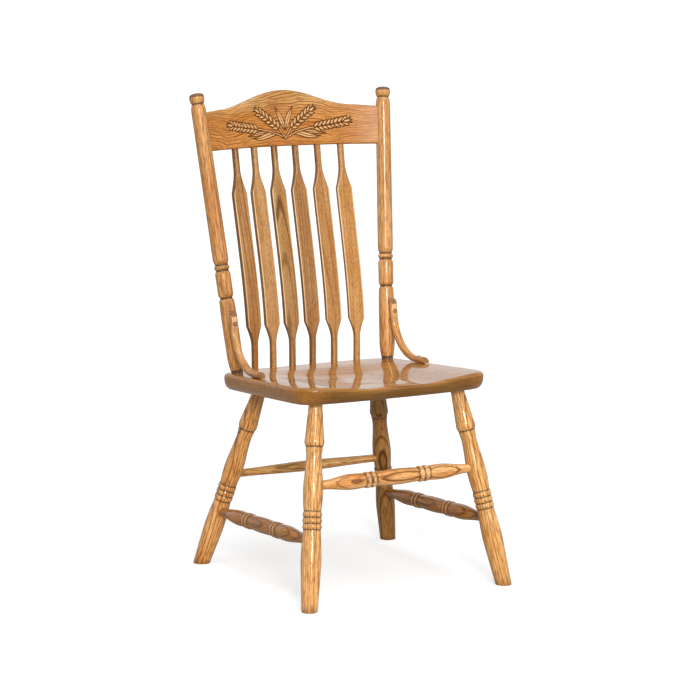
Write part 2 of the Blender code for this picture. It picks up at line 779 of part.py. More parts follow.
def make_paddles(chair, seat, crest):
    """Six bent paddles, with round stems in the seat and in the crest rail."""
    stem = PADDLE_STEM_RADIUS + CLEARANCE
    sockets = []
    for number in range(1, PADDLE_COUNT + 1):
        place = number - (PADDLE_COUNT + 1) / 2.0
        base, top = paddle_ends(place)
        rise = top.z - base.z
        turn = -PADDLE_TURN * place / ((PADDLE_COUNT - 1) / 2.0)
        rings = []
        for height in paddle_heights(rise):
            half_breadth, squareness = paddle_breadth(height, rise)
            rings.append(paddle_ring(base, top, height, half_breadth, squareness, turn))
        piece("paddle_%d" % number, loft("paddle_%d" % number, rings), OAK, chair)
        in_seat = (-PADDLE_TENON - CLEARANCE, PADDLE_STEM_RADIUS)
        in_crest = (rise - CREST_THICKNESS, rise, rise + PADDLE_TENON + CLEARANCE)
        for heights in (in_seat, in_crest):
            ends = [paddle_ring(base, top, height, (stem, stem), ROUND, turn) for height in heights]
            sockets.append(loft("socket", ends))
    tool = cutter("paddle_sockets", sockets, chair)
    cut(seat, tool)
    cut(crest, tool)


# Hip braces

def brace_frames(side):
    """Centre points of a brace with the direction that its inner bend faces, from its top to its toe."""
    post = post_axis(side)
    up = Vector((0.0, post.along.y, post.along.z)).normalized()
    front = Vector((0.0, -up.z, up.y))
    ahead = Vector((0.0, -1.0, SEAT_SLOPE)).normalized()
    lift = Vector((0.0, SEAT_SLOPE, 1.0)).normalized()
    top = post.at_height(SEAT_HEIGHT + BRACE_RISE)
    upper = top + front * (POST_RADIUS + CLEARANCE + BRACE_THICKNESS / 2.0)
    lower = Vector((upper.x, POST_BASE_Y, SEAT_HEIGHT)) + lift * (CLEARANCE + BRACE_THICKNESS / 2.0)
    corner = upper + up * ((lower - upper).dot(lift) / up.dot(lift))
    bend = (-up).angle(ahead)
    tangent = BRACE_BEND_RADIUS * tan(bend / 2.0)
    centre = corner + up * tangent + front * BRACE_BEND_RADIUS
    frames = [(upper - up * (BRACE_NOSE * share), front) for share, _, _ in BRACE_NOSE_PROFILE]
    for step in range(BRACE_BEND_STEPS + 1):
        angle = bend * step / BRACE_BEND_STEPS
        facing = front * cos(angle) + up * sin(angle)
        frames.append((centre - facing * BRACE_BEND_RADIUS, facing))
    toe = lower + ahead * BRACE_REACH
    frames += [(toe - ahead * (BRACE_NOSE * share), lift) for share, _, _ in reversed(BRACE_NOSE_PROFILE)]
    for point, _ in frames:
        forward = (upper.y - point.y) / (upper.y - toe.y)
        point.x += SIDES[side] * (BRACE_TOP_SPLAY + (BRACE_TOE_SPLAY - BRACE_TOP_SPLAY) * forward)
    return frames


def brace_mesh(side):
    """Bent rod, a little flattened, cut on the slant at both ends."""
    frames = brace_frames(side)
    across = Vector((1.0, 0.0, 0.0))
    left_over = [shares for _, *shares in BRACE_NOSE_PROFILE]
    whole = [(1.0, 1.0)] * (len(frames) - 2 * len(left_over))
    rings = []
    for (centre, facing), (thick_share, wide_share) in zip(frames, left_over + whole + left_over[::-1]):
        thick = BRACE_THICKNESS * thick_share
        middle = centre - facing * ((BRACE_THICKNESS - thick) / 2.0)
        section = rounded_section(BRACE_WIDTH * wide_share, thick, BRACE_SQUARENESS, BRACE_SIDES)
        rings.append([middle + across * first + facing * second for first, second in section])
    return loft("brace_" + side, rings)


def screw_axis(frames, end):
    """Centre line of a brace's screw, from the face of the brace inwards, near its top or its toe."""
    nose = len(BRACE_NOSE_PROFILE) - 1
    tip, facing = frames[0] if end == "upper" else frames[-1]
    whole, _ = frames[nose] if end == "upper" else frames[-1 - nose]
    seat_of_head = tip + (whole - tip).normalized() * BRACE_SCREW_INSET
    face = seat_of_head + facing * (BRACE_THICKNESS / 2.0)
    return Axis(face, face - facing)


def make_screw(name, axis, chair, held):
    """Screw and plug on one axis, and the stepped bore that takes them in the pieces they hold."""
    head = PLUG_DEPTH + CLEARANCE
    neck = head + SCREW_HEAD_HEIGHT
    point = head + SCREW_LENGTH
    shank = ((head, SCREW_HEAD_RADIUS), (neck, SCREW_RADIUS), (point - SCREW_POINT, SCREW_RADIUS),
             (point, SCREW_TIP_RADIUS))
    piece(name + "_screw_" + held["side"], lathe(name, shank, FASTENER_SIDES), STEEL, chair, axis.matrix)
    dome = ((-PLUG_DOME, PLUG_CROWN_RADIUS), (0.0, PLUG_RADIUS), (PLUG_DEPTH, PLUG_RADIUS))
    piece(name + "_plug_" + held["side"], lathe(name, dome, FASTENER_SIDES), OAK_PLUG, chair, axis.matrix)
    wide = PLUG_RADIUS + CLEARANCE
    slim = SCREW_RADIUS + CLEARANCE
    ledge = neck + CLEARANCE
    stepped = ((-BORE_RUN_OUT, wide), (ledge, wide), (ledge, slim), (point + CLEARANCE, slim))
    tool = cutter(name + "_bore_" + held["side"], (bore(axis, stepped, FASTENER_SIDES),), chair)
    for target in held["pieces"]:
        cut(target, tool)


def make_braces(chair, seat, posts):
    """Hip braces with their screws and plugs."""
    for side in SIDES:
        brace = piece("brace_" + side, brace_mesh(side), OAK, chair)
        frames = brace_frames(side)
        for end, base in (("upper", posts[side]), ("lower", seat)):
            make_screw(end, screw_axis(frames, end), chair, {"side": side, "pieces": (brace, base)})


# Chair

def centre_on_floor(chair):
    """Move the chair so that its bounding box is centred over the origin."""
    bpy.context.view_layer.update()
    depths = []
    for child in chair.children:
        if not child.hide_render:
            depths += [(child.matrix_world @ vertex.co).y for vertex in child.data.vertices]
    chair.location.y = -(min(depths) + max(depths)) / 2.0
    bpy.context.view_layer.update()


def main():
    """Build the chair."""
    clear_scene()
    chair = bpy.data.objects.new("paddle_back_chair", None)
    bpy.context.collection.objects.link(chair)
    seat = make_seat(chair)
    legs = make_legs(chair, seat)
    make_stretchers(chair, legs)
    posts = make_posts(chair, seat)
    crest = make_crest(chair, posts)
    make_paddles(chair, seat, crest)
    make_braces(chair, seat, posts)
    centre_on_floor(chair)


main()
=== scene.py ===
"""Looks of a paddle back dining chair in golden oak.

The chair is set out in a gauge frame of its own, in metres: it faces -Y, left is -X, and depths are measured
from a line near the middle of the seat plank. Each finished piece then moves by one shift along Y onto the
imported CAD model, and replaces the CAD node that has its name.
"""
import json
import logging
from collections.abc import Sequence
from dataclasses import dataclass
from enum import Enum
from math import ceil, copysign, cos, exp, pi, radians, sin, sqrt, tan

import bmesh
import bpy
import numpy as np
from mathutils import Matrix, Vector


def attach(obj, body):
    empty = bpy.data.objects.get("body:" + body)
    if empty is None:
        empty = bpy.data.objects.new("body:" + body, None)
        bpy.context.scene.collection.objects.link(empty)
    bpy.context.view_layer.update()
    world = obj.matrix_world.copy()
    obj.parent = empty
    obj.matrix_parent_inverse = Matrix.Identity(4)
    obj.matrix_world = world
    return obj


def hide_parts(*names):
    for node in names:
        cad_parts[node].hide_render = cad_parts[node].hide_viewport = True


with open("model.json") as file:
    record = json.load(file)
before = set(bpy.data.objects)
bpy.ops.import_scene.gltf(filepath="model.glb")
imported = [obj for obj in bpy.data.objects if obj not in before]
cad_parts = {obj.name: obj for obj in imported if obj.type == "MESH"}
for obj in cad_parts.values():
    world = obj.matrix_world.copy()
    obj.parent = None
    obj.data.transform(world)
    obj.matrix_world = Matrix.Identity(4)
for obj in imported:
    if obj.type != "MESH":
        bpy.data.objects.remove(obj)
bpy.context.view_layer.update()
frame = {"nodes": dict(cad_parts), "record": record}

LOG = logging.getLogger("paddle_back_chair")

BODY = "root"

# Ending of a piece's name, after the name of the CAD node that it stands for
LOOK = "_look"

MERGE_DISTANCE = 0.00001
SHARP_ANGLE = radians(38.0)

# Sockets of the Mix node when it mixes colours
MIX_FACTOR = 0
MIX_FIRST = 6
MIX_SECOND = 7
MIX_RESULT = 2

# Squareness of a section that is a plain circle or ellipse
ROUND = 2.0

WHITE = "#FFFFFF"

# Added where a length of 0 would divide by 0
TINY = 1e-6

Point = tuple[float, float]
Triple = tuple[float, float, float]
Array = np.ndarray
Piece = bpy.types.Object
Material = bpy.types.Material
Tree = bpy.types.NodeTree
Socket = bpy.types.NodeSocket
Sockets = dict[str | int, object]


class Side(Enum):
    """Side of the chair, with the sign of X there."""

    LEFT = -1
    RIGHT = 1

    @property
    def word(self) -> str:
        """Word that ends a node's name."""
        return self.name.lower()


class Row(Enum):
    """Row of legs."""

    FRONT = "front"
    REAR = "rear"


class Shape(Enum):
    """How a turned outline runs to a station from the one before."""

    LINE = "line"
    EASE = "ease"
    SWELL = "swell"
    FALL = "fall"
    BEAD = "bead"

    def share(self, way: float) -> float:
        """Share of the change in radius at a share of the way.

        Args:
            way: Share of the way, from 0 to 1.

        Returns:
            Share of the change, from 0 to 1.
        """
        if self is Shape.EASE:
            return (1.0 - cos(pi * way)) / 2.0
        if self is Shape.SWELL:
            return sin(pi * way / 2.0)
        if self is Shape.FALL:
            return 1.0 - cos(pi * way / 2.0)
        return way


Station = tuple[float, float, Shape]


# Colour and node helpers

def linear(code: str) -> tuple[float, float, float, float]:
    """Turn an sRGB hex colour into linear RGBA.

    Args:
        code: Colour such as "#C98B4B".

    Returns:
        Linear red, green, blue and an alpha of 1.
    """
    channels = [int(code[start:start + 2], 16) / 255.0 for start in (1, 3, 5)]
    straight = [value / 12.92 if value <= 0.04045 else ((value + 0.055) / 1.055) ** 2.4 for value in channels]
    return straight[0], straight[1], straight[2], 1.0


def add_node(tree: Tree, kind: str, sockets: Sockets, **settings: object) -> bpy.types.Node:
    """Add one node with its settings, values and links.

    Args:
        tree: Node tree of a material or a world.
        kind: Node type, without the word ShaderNode that begins it.
        sockets: A value, or another node's output, for each input by name or number.
        settings: Properties of the node itself.

    Returns:
        The node.
    """
    node = tree.nodes.new("ShaderNode" + kind)
    for name, value in settings.items():
        setattr(node, name, value)
    for socket, value in sockets.items():
        if isinstance(value, bpy.types.NodeSocket):
            tree.links.new(value, node.inputs[socket])
        else:
            node.inputs[socket].default_value = value
    return node


def start_material(name: str) -> tuple[Material, Tree, bpy.types.Node]:
    """Start a material.

    Args:
        name: Name of the material.

    Returns:
        The material, its node tree and its shader.
    """
    material = bpy.data.materials.new(name)
    material.use_nodes = True
    return material, material.node_tree, material.node_tree.nodes["Principled BSDF"]


# Shape helpers

def unit(values: Array) -> Array:
    """Values held between 0 and 1."""
    return np.clip(values, 0.0, 1.0)


def smooth_step(share: float) -> float:
    """Ease from 0 to 1 as share goes from 0 to 1."""
    held = min(1.0, max(0.0, share))
    return held * held * (3.0 - 2.0 * held)


def squared(angle: float, squareness: float) -> Point:
    """Unit point at an angle, on a circle where squareness is 2 and on a squarer ring above that."""
    across, out = (copysign(abs(part) ** (2.0 / squareness), part) for part in (cos(angle), sin(angle)))
    return across, out


def section(width: float, thickness: float, squareness: float, sides: int) -> list[Point]:
    """Points (across, out) of a rounded section.

    Args:
        width: Whole size across.
        thickness: Whole size out.
        squareness: 2 for an ellipse, more for a squarer section.
        sides: Number of points.

    Returns:
        The points in order.
    """
    ring = [squared(2.0 * pi * (index + 0.5) / sides, squareness) for index in range(sides)]
    return [(across * width / 2.0, out * thickness / 2.0) for across, out in ring]


def heading(start: Array, end: Array, turn: float = 0.0) -> Array:
    """Unit vector in a plane from start to end, turned by an angle.

    Args:
        start: First point.
        end: Second point.
        turn: Angle in radians, anticlockwise.

    Returns:
        The two parts of the vector.
    """
    run, rise = (end - start) / np.linalg.norm(end - start)
    return np.array((cos(turn) * run - sin(turn) * rise, sin(turn) * run + cos(turn) * rise))


@dataclass(frozen=True)
class Axis:
    """A straight centre line from start to end."""

    start: Vector
    end: Vector

    @property
    def length(self) -> float:
        """Distance from start to end."""
        return (self.end - self.start).length

    @property
    def along(self) -> Vector:
        """Unit vector from start to end."""
        return (self.end - self.start).normalized()

    @property
    def matrix(self) -> Matrix:
        """Placement of a piece that is modelled along local Z from the start."""
        return Matrix.LocRotScale(self.start, self.along.to_track_quat("Z", "Y"), None)

    def at_height(self, height: float) -> Vector:
        """Point where the axis, or its run-on, is at a height."""
        return self.start.lerp(self.end, (height - self.start.z) / (self.end.z - self.start.z))


@dataclass(frozen=True)
class Billet:
    """Where in the log a piece was cut, and the tone given to the piece.

    heart is the distance from the heart of the tree, and bearing the direction in which the piece lies from
    it, in degrees about the piece's length. lean is the angle between the piece and the tree, in degrees,
    and run is how far up the log it starts. bold multiplies the strength of the yearly lines, and the tone
    field the piece's red, green and blue. The tone is set piece by piece to how bright each piece looks, so
    it holds painted light besides the wood's own tone: painted shade on pieces in shade, and a paler, bluer
    tone that stands in for the highlights on well-lit pieces.
    """

    heart: float = 0.080
    bearing: float = 90.0
    lean: float = 2.0
    run: float = 0.0
    bold: float = 1.0
    tone: Triple = (1.0, 1.0, 1.0)

    def matrix(self) -> Matrix:
        """Place of the piece in the log, whose heart is local Z."""
        turn = radians(self.bearing)
        away = Vector((cos(turn), sin(turn), 0.0))
        tilt = Matrix.Rotation(radians(self.lean), 4, Vector((-away.y, away.x, 0.0)))
        return Matrix.Translation(away * self.heart + Vector((0.0, 0.0, self.run))) @ tilt


# Billets of a left and a right piece
Billets = tuple[Billet, Billet]


# Bench: the operators that every piece goes through

def select_only(piece: Piece) -> None:
    """Select one piece alone and make it the active one.

    Args:
        piece: The piece.
    """
    bpy.ops.object.select_all(action="DESELECT")
    piece.select_set(True)
    bpy.context.view_layer.objects.active = piece


def start_editing(name: str) -> Piece:
    """Name the primitive that was just added and open it for editing.

    Args:
        name: Name of the CAD node that it stands for.

    Returns:
        The piece, in edit mode with everything selected.
    """
    piece = bpy.context.object
    piece.name = name + LOOK
    piece.data.name = name + LOOK
    bpy.ops.object.mode_set(mode="EDIT")
    bpy.ops.mesh.select_all(action="SELECT")
    return piece


def close_up() -> None:
    """Merge doubles, point the faces outwards and leave edit mode."""
    bpy.ops.mesh.select_all(action="SELECT")
    bpy.ops.mesh.remove_doubles(threshold=MERGE_DISTANCE)
    bpy.ops.mesh.normals_make_consistent(inside=False)
    bpy.ops.object.mode_set(mode="OBJECT")


def copy_of(piece: Piece, name: str, mirrored: bool = False) -> Piece:
    """Copy a piece, with a mesh of its own.

    Args:
        piece: The piece.
        name: Name of the CAD node that the copy stands for.
        mirrored: Whether left and right change places.

    Returns:
        The copy.
    """
    select_only(piece)
    bpy.ops.object.duplicate()
    copy = start_editing(name)
    if mirrored:
        bpy.ops.transform.resize(value=(-1.0, 1.0, 1.0), center_override=(0.0, 0.0, 0.0))
    close_up()
    return copy


def pair_up(first: Piece, stem: str, mirrored: bool = False) -> dict[Side, Piece]:
    """The left piece of a pair, and its copy for the right side."""
    return {Side.LEFT: first, Side.RIGHT: copy_of(first, stem + Side.RIGHT.word, mirrored)}


def turned_outline(stations: list[Station], bead_rise: float, step: float) -> list[Point]:
    """Points of a turned outline.

    Args:
        stations: Distance, radius and the shape that leads there.
        bead_rise: How far a bead stands proud of the grooves beside it.
        step: Longest distance between two points on a curve.

    Returns:
        Points (distance, radius).
    """
    points = [stations[0][:2]]
    for (begin, first, _), (end, last, shape) in zip(stations, stations[1:]):
        steps = 1 if shape is Shape.LINE else max(2, ceil(abs(end - begin) / step))
        for number in range(1, steps + 1):
            way = number / steps
            bulge = bead_rise * sin(pi * way) if shape is Shape.BEAD else 0.0
            points.append((begin + (end - begin) * way, first + (last - first) * shape.share(way) + bulge))
    return points


def turn_on_lathe(name: str, outline: list[Point], sides: int) -> Piece:
    """Draw an outline point by point from one vertex and spin it about local Z.

    Args:
        name: Name of the piece.
        outline: Points (distance, radius), without the two on the axis.
        sides: Steps of the spin.

    Returns:
        The closed piece.
    """
    closed = [(outline[0][0], 0.0), *outline, (outline[-1][0], 0.0)]
    bpy.ops.object.select_all(action="DESELECT")
    bpy.ops.mesh.primitive_plane_add(size=MERGE_DISTANCE)
    piece = start_editing(name)
    bpy.ops.mesh.merge(type="CENTER")
    bpy.ops.transform.translate(value=(0.0, 0.0, closed[0][0]))
    for (begin, first), (end, last) in zip(closed, closed[1:]):
        bpy.ops.mesh.extrude_vertices_move(TRANSFORM_OT_translate={"value": (last - first, 0.0, end - begin)})
    bpy.ops.mesh.select_all(action="SELECT")
    bpy.ops.mesh.spin(steps=sides, angle=2.0 * pi, center=(0.0, 0.0, 0.0), axis=(0.0, 0.0, 1.0))
    close_up()
    return piece


def draw_out(name: str, rings: list[list[Vector]]) -> Piece:
    """Lay a circle on the first ring, extrude it from ring to ring and close both ends.

    Args:
        name: Name of the piece.
        rings: Rings of equal point counts.

    Returns:
        The closed piece, with the vertex attribute "station" that counts its rings' points in order.
    """
    count = len(rings[0])
    bpy.ops.object.select_all(action="DESELECT")
    bpy.ops.mesh.primitive_circle_add(vertices=count, radius=1.0)
    piece = start_editing(name)
    edit = bmesh.from_edit_mesh(piece.data)
    station = edit.verts.layers.int.new("station")
    for index, vertex in enumerate(edit.verts):
        vertex[station] = index
        vertex.co = rings[0][index]
    for ring in rings[1:]:
        bpy.ops.mesh.extrude_region_move()
        edit = bmesh.from_edit_mesh(piece.data)
        station = edit.verts.layers.int["station"]
        for vertex in edit.verts:
            if vertex.select:
                vertex.co = ring[vertex[station] % count]
                vertex[station] += count
    bpy.ops.mesh.edge_face_add()
    bpy.ops.mesh.select_all(action="DESELECT")
    edit = bmesh.from_edit_mesh(piece.data)
    station = edit.verts.layers.int["station"]
    for vertex in edit.verts:
        vertex.select = vertex[station] < count
    edit.select_flush(True)
    bpy.ops.mesh.edge_face_add()
    close_up()
    return piece


def write_attribute(piece: Piece, name: str, kind: str, values: Array) -> None:
    """Store one value per vertex.

    Args:
        piece: The piece.
        name: Name that the finish reads.
        kind: FLOAT or FLOAT_VECTOR.
        values: One row per vertex.
    """
    attribute = piece.data.attributes.new(name, kind, "POINT")
    attribute.data.foreach_set("value" if kind == "FLOAT" else "vector", np.ravel(values))


def vertex_places(piece: Piece) -> Array:
    """Read the coordinates of a piece's vertices.

    Args:
        piece: The piece.

    Returns:
        One row per vertex.
    """
    places = np.zeros(len(piece.data.vertices) * 3)
    piece.data.vertices.foreach_get("co", places)
    return places.reshape(-1, 3)


def station_order(piece: Piece) -> Array:
    """Read off the attribute that counts a piece's rings, and wipe it away.

    Args:
        piece: A drawn-out piece.

    Returns:
        Number of each vertex among the points of the rings.
    """
    order = np.zeros(len(piece.data.vertices), dtype=np.int32)
    piece.data.attributes["station"].data.foreach_get("value", order)
    piece.data.attributes.remove(piece.data.attributes["station"])
    return order


def station_rows(order: Array, rings: list[list[Sequence[float]]]) -> Array:
    """Values given ring by ring, put in the order of a drawn-out piece's vertices.

    Args:
        order: The piece's station_order.
        rings: One row of values per point of each ring.

    Returns:
        One row per vertex.
    """
    return np.array([tuple(value) for ring in rings for value in ring])[order]


def draw_glazed(name: str, rings: list[list[Vector]],
                marks: list[list[Sequence[float]]]) -> tuple[Piece, Array]:
    """Draw out a piece and leave its glaze.

    Args:
        name: Name of the piece.
        rings: Rings of equal point counts.
        marks: Three coordinates along the piece and the glaze, for each point of each ring.

    Returns:
        The closed piece, and the coordinates along it, one row per vertex.
    """
    piece = draw_out(name, rings)
    rows = station_rows(station_order(piece), marks)
    write_attribute(piece, "glaze", "FLOAT", rows[:, 3])
    return piece, rows[:, :3]


def deepen_glaze(piece: Piece, glaze: Array) -> None:
    """Add glaze where a piece holds less than this.

    Args:
        piece: The piece.
        glaze: One value per vertex.
    """
    held = np.zeros(len(glaze))
    piece.data.attributes["glaze"].data.foreach_get("value", held)
    piece.data.attributes["glaze"].data.foreach_set("value", np.maximum(held, glaze))


def mark_wood(piece: Piece, local: Array, billet: Billet) -> None:
    """Store where each vertex lies in its log, how bold its figure is and the tone of the wood.

    Args:
        piece: The piece.
        local: Coordinates along the piece, with its grain along the third, one row per vertex.
        billet: Cut of the piece.
    """
    place = np.array(billet.matrix())
    write_attribute(piece, "grain", "FLOAT_VECTOR", local @ place[:3, :3].T + place[:3, 3])
    write_attribute(piece, "bold", "FLOAT", np.full(len(local), billet.bold))
    write_attribute(piece, "tone", "FLOAT_VECTOR", np.tile(billet.tone, (len(local), 1)))


# Finishes

@dataclass(frozen=True)
class OakFinish:
    """Golden oak, planed or turned, stained, glazed in its hollows and lacquered.

    Oak is ring-porous: each year starts with a band of open pores that takes up more stain, so the eye sees
    dark lines along straight-sawn faces, and arches and ovals where a flat-sawn face or a swell cuts across
    the years. The pores also show as short dark dashes along the grain, and the lacquer gives one clear,
    soft-edged highlight over all of it.
    """

    name: str
    light: str = "#EAB06A"
    middle: str = "#D08C44"
    dark: str = "#7A4719"
    pore: str = "#7F4A1C"
    glaze: str = "#3A210D"
    wiped: str = "#EBC592"
    ring_width: float = 0.0056
    year_bold: float = 0.95
    wander: float = 0.007
    wander_pace: Point = (16.0, 2.2)
    wander_detail: float = 2.0
    spring_fade: Point = (0.06, 0.30)
    spring_start: float = 0.90
    luck_pace: float = 0.61
    luck_range: Point = (0.35, 0.65)
    year_faint: float = 0.30
    pore_bold: float = 0.55
    pore_size: Point = (0.0025, 0.022)
    pore_range: Point = (0.52, 0.57)
    pore_detail: float = 3.0
    pore_depth: float = 0.0003
    pore_relief: float = 0.25
    drift_pace: Point = (60.0, 6.0)
    drift_range: Point = (0.32, 0.68)
    drift_detail: float = 3.0
    board_width: float = 0.0
    board_shift: Triple = (0.05, 0.05, 1.5)
    board_tones: Point = (0.92, 1.06)
    glaze_hold: float = 0.92
    roughness: float = 0.42
    specular: float = 0.05
    coat: float = 1.0
    coat_roughness: float = 0.14
    coat_ior: float = 1.38

    def material(self) -> Material:
        """Build the finish.

        Returns:
            A material that reads the attributes grain, tone, glaze and bold, where tone and glaze carry
            painted light as well.
        """
        material, tree, shader = start_material(self.name)
        grain, tone, glaze, bold = (
            add_node(tree, "Attribute", {}, attribute_name=name).outputs[output]
            for name, output in (("grain", "Vector"), ("tone", "Vector"), ("glaze", "Fac"), ("bold", "Fac")))
        if self.board_width > 0.0:
            grain, tone = self.boards(tree, grain, tone)
        years, pores, broad = self.figure(tree, grain, bold)

        colour = linear(self.light)
        for factor, code in ((broad, self.middle), (years, self.dark), (pores, self.pore)):
            mixed = {MIX_FACTOR: factor, MIX_FIRST: colour, MIX_SECOND: linear(code)}
            colour = add_node(tree, "Mix", mixed, data_type="RGBA").outputs[MIX_RESULT]
        colour = add_node(tree, "VectorMath", {0: colour, 1: tone}, operation="MULTIPLY").outputs[0]
        # Glaze above 0 is left in a hollow, and also stands for painted shade on some edges and sides; below
        # 0 it is wiped off a high spot, and also stands for painted highlights on beads, arrises and lips
        for hold, code in ((self.glaze_hold, self.glaze), (-1.0, self.wiped)):
            left = add_node(tree, "Math", {0: glaze, 1: hold}, operation="MULTIPLY", use_clamp=True)
            mixed = {MIX_FACTOR: left.outputs[0], MIX_FIRST: colour, MIX_SECOND: linear(code)}
            colour = add_node(tree, "Mix", mixed, data_type="RGBA").outputs[MIX_RESULT]
        tree.links.new(colour, shader.inputs["Base Color"])

        # Open pores leave the lacquer a little uneven
        dips = add_node(tree, "Math", {0: pores, 1: -1.0}, operation="MULTIPLY").outputs[0]
        relief = add_node(tree, "Bump", {
            "Strength": self.pore_relief, "Distance": self.pore_depth, "Height": dips})
        tree.links.new(relief.outputs["Normal"], shader.inputs["Normal"])
        for name, value in (("Roughness", self.roughness), ("Specular IOR Level", self.specular),
                            ("Coat Weight", self.coat), ("Coat Roughness", self.coat_roughness),
                            ("Coat IOR", self.coat_ior)):
            shader.inputs[name].default_value = value
        return material

    def boards(self, tree: Tree, grain: Socket, tone: Socket) -> tuple[Socket, Socket]:
        """Cut a glued-up plank into boards, each from its own place in the log.

        Args:
            tree: The finish's nodes.
            grain: Place in the log.
            tone: Tone of the wood.

        Returns:
            Place in the log and tone, which differ from board to board.
        """
        parts = add_node(tree, "SeparateXYZ", {0: grain})
        share = add_node(tree, "Math", {0: parts.outputs["X"], 1: self.board_width}, operation="DIVIDE")
        number = add_node(tree, "Math", {0: share.outputs[0]}, operation="FLOOR").outputs[0]
        dice = add_node(tree, "TexWhiteNoise", {"W": number}, noise_dimensions="1D")
        moved = add_node(tree, "VectorMath", {
            0: dice.outputs["Color"], 1: self.board_shift, 2: grain}, operation="MULTIPLY_ADD").outputs[0]
        darker, lighter = self.board_tones
        level = add_node(tree, "MapRange", {
            "Value": dice.outputs["Value"], "To Min": darker, "To Max": lighter}).outputs[0]
        shaded = add_node(tree, "VectorMath", {0: tone, "Scale": level}, operation="SCALE")
        return moved, shaded.outputs[0]

    def figure(self, tree: Tree, grain: Socket, bold: Socket) -> tuple[Socket, Socket, Socket]:
        """Draw the figure of the wood.

        Args:
            tree: The finish's nodes.
            grain: Place in the log, in metres.
            bold: Strength of the yearly lines in this piece.

        Returns:
            Darkness of the years, of the pores, and the broad drift of colour, each from 0 to 1.
        """
        # The log isn't straight: its heart wanders by some millimetres over a hand's breadth. Pores are rows
        # of dashes 0.3 mm wide, drawn some 2 mm wide, or none would show. Colour drifts over some centimetres
        # across the grain and some decimetres along it.
        noises = []
        for across, along, detail in ((*self.wander_pace, self.wander_detail),
                                      (*(1.0 / size for size in self.pore_size), self.pore_detail),
                                      (*self.drift_pace, self.drift_detail)):
            place = add_node(tree, "VectorMath", {0: grain, 1: (across, across, along)},
                             operation="MULTIPLY").outputs[0]
            noises.append(add_node(tree, "TexNoise", {"Vector": place, "Scale": 1.0, "Detail": detail}))
        wander, speckle, drift = noises

        bent = add_node(tree, "VectorMath", {
            0: wander.outputs["Color"], 1: (self.wander, self.wander, 0.0), 2: grain},
            operation="MULTIPLY_ADD").outputs[0]
        level = add_node(tree, "VectorMath", {0: bent, 1: (1.0, 1.0, 0.0)}, operation="MULTIPLY").outputs[0]
        radius = add_node(tree, "VectorMath", {0: level}, operation="LENGTH").outputs["Value"]
        year = add_node(tree, "Math", {0: radius, 1: self.ring_width}, operation="DIVIDE").outputs[0]
        season = add_node(tree, "Math", {0: year}, operation="FRACT").outputs[0]
        full, gone = self.spring_fade
        fading = add_node(tree, "MapRange", {
            "Value": season, "From Min": full, "From Max": gone, "To Min": 1.0, "To Max": 0.0},
            interpolation_type="SMOOTHSTEP").outputs[0]
        starting = add_node(tree, "MapRange", {
            "Value": season, "From Min": self.spring_start, "From Max": 1.0}).outputs[0]
        spring = add_node(tree, "Math", {0: fading, 1: starting}, operation="MAXIMUM").outputs[0]
        # Good and poor years: some lines are bold and some hardly show
        slow = add_node(tree, "Math", {0: year, 1: self.luck_pace}, operation="MULTIPLY").outputs[0]
        luck = add_node(tree, "TexNoise", {"W": slow, "Scale": 1.0, "Detail": 1.0}, noise_dimensions="1D")
        poor, good = self.luck_range
        strong = add_node(tree, "MapRange", {
            "Value": luck.outputs["Fac"], "From Min": poor, "From Max": good, "To Min": self.year_faint,
            "To Max": self.year_bold}).outputs[0]
        years = add_node(tree, "Math", {0: spring, 1: strong}, operation="MULTIPLY").outputs[0]
        years = add_node(tree, "Math", {0: years, 1: bold}, operation="MULTIPLY", use_clamp=True)

        shut, wide = self.pore_range
        pores = add_node(tree, "MapRange", {
            "Value": speckle.outputs["Fac"], "From Min": shut, "From Max": wide, "To Max": self.pore_bold},
            interpolation_type="SMOOTHSTEP").outputs[0]
        pale, deep = self.drift_range
        broad = add_node(tree, "MapRange", {
            "Value": drift.outputs["Fac"], "From Min": pale, "From Max": deep}).outputs[0]
        return years.outputs[0], pores, broad


@dataclass(frozen=True)
class PlatedSteel:
    """Zinc-plated steel, drawn and rolled: grey metal with a fine crystal mottle that blurs its shine."""

    name: str = "zinc_plated_steel_rolled"
    base: str = "#A9ABAE"
    mottle: str = "#8C8F93"
    crystal: float = 0.0006
    roughness: Point = (0.30, 0.48)

    def material(self) -> Material:
        """Build the finish.

        Returns:
            A material on Object coordinates.
        """
        material, tree, shader = start_material(self.name)
        place = add_node(tree, "TexCoord", {}).outputs["Object"]
        crystals = add_node(tree, "TexVoronoi", {"Vector": place, "Scale": 1.0 / self.crystal})
        colour = add_node(tree, "Mix", {
            MIX_FACTOR: crystals.outputs["Distance"], MIX_FIRST: linear(self.base),
            MIX_SECOND: linear(self.mottle)}, data_type="RGBA").outputs[MIX_RESULT]
        smoother, rougher = self.roughness
        rough = add_node(tree, "MapRange", {
            "Value": crystals.outputs["Distance"], "To Min": smoother, "To Max": rougher}).outputs[0]
        tree.links.new(colour, shader.inputs["Base Color"])
        tree.links.new(rough, shader.inputs["Roughness"])
        shader.inputs["Metallic"].default_value = 1.0
        return material


# Chair

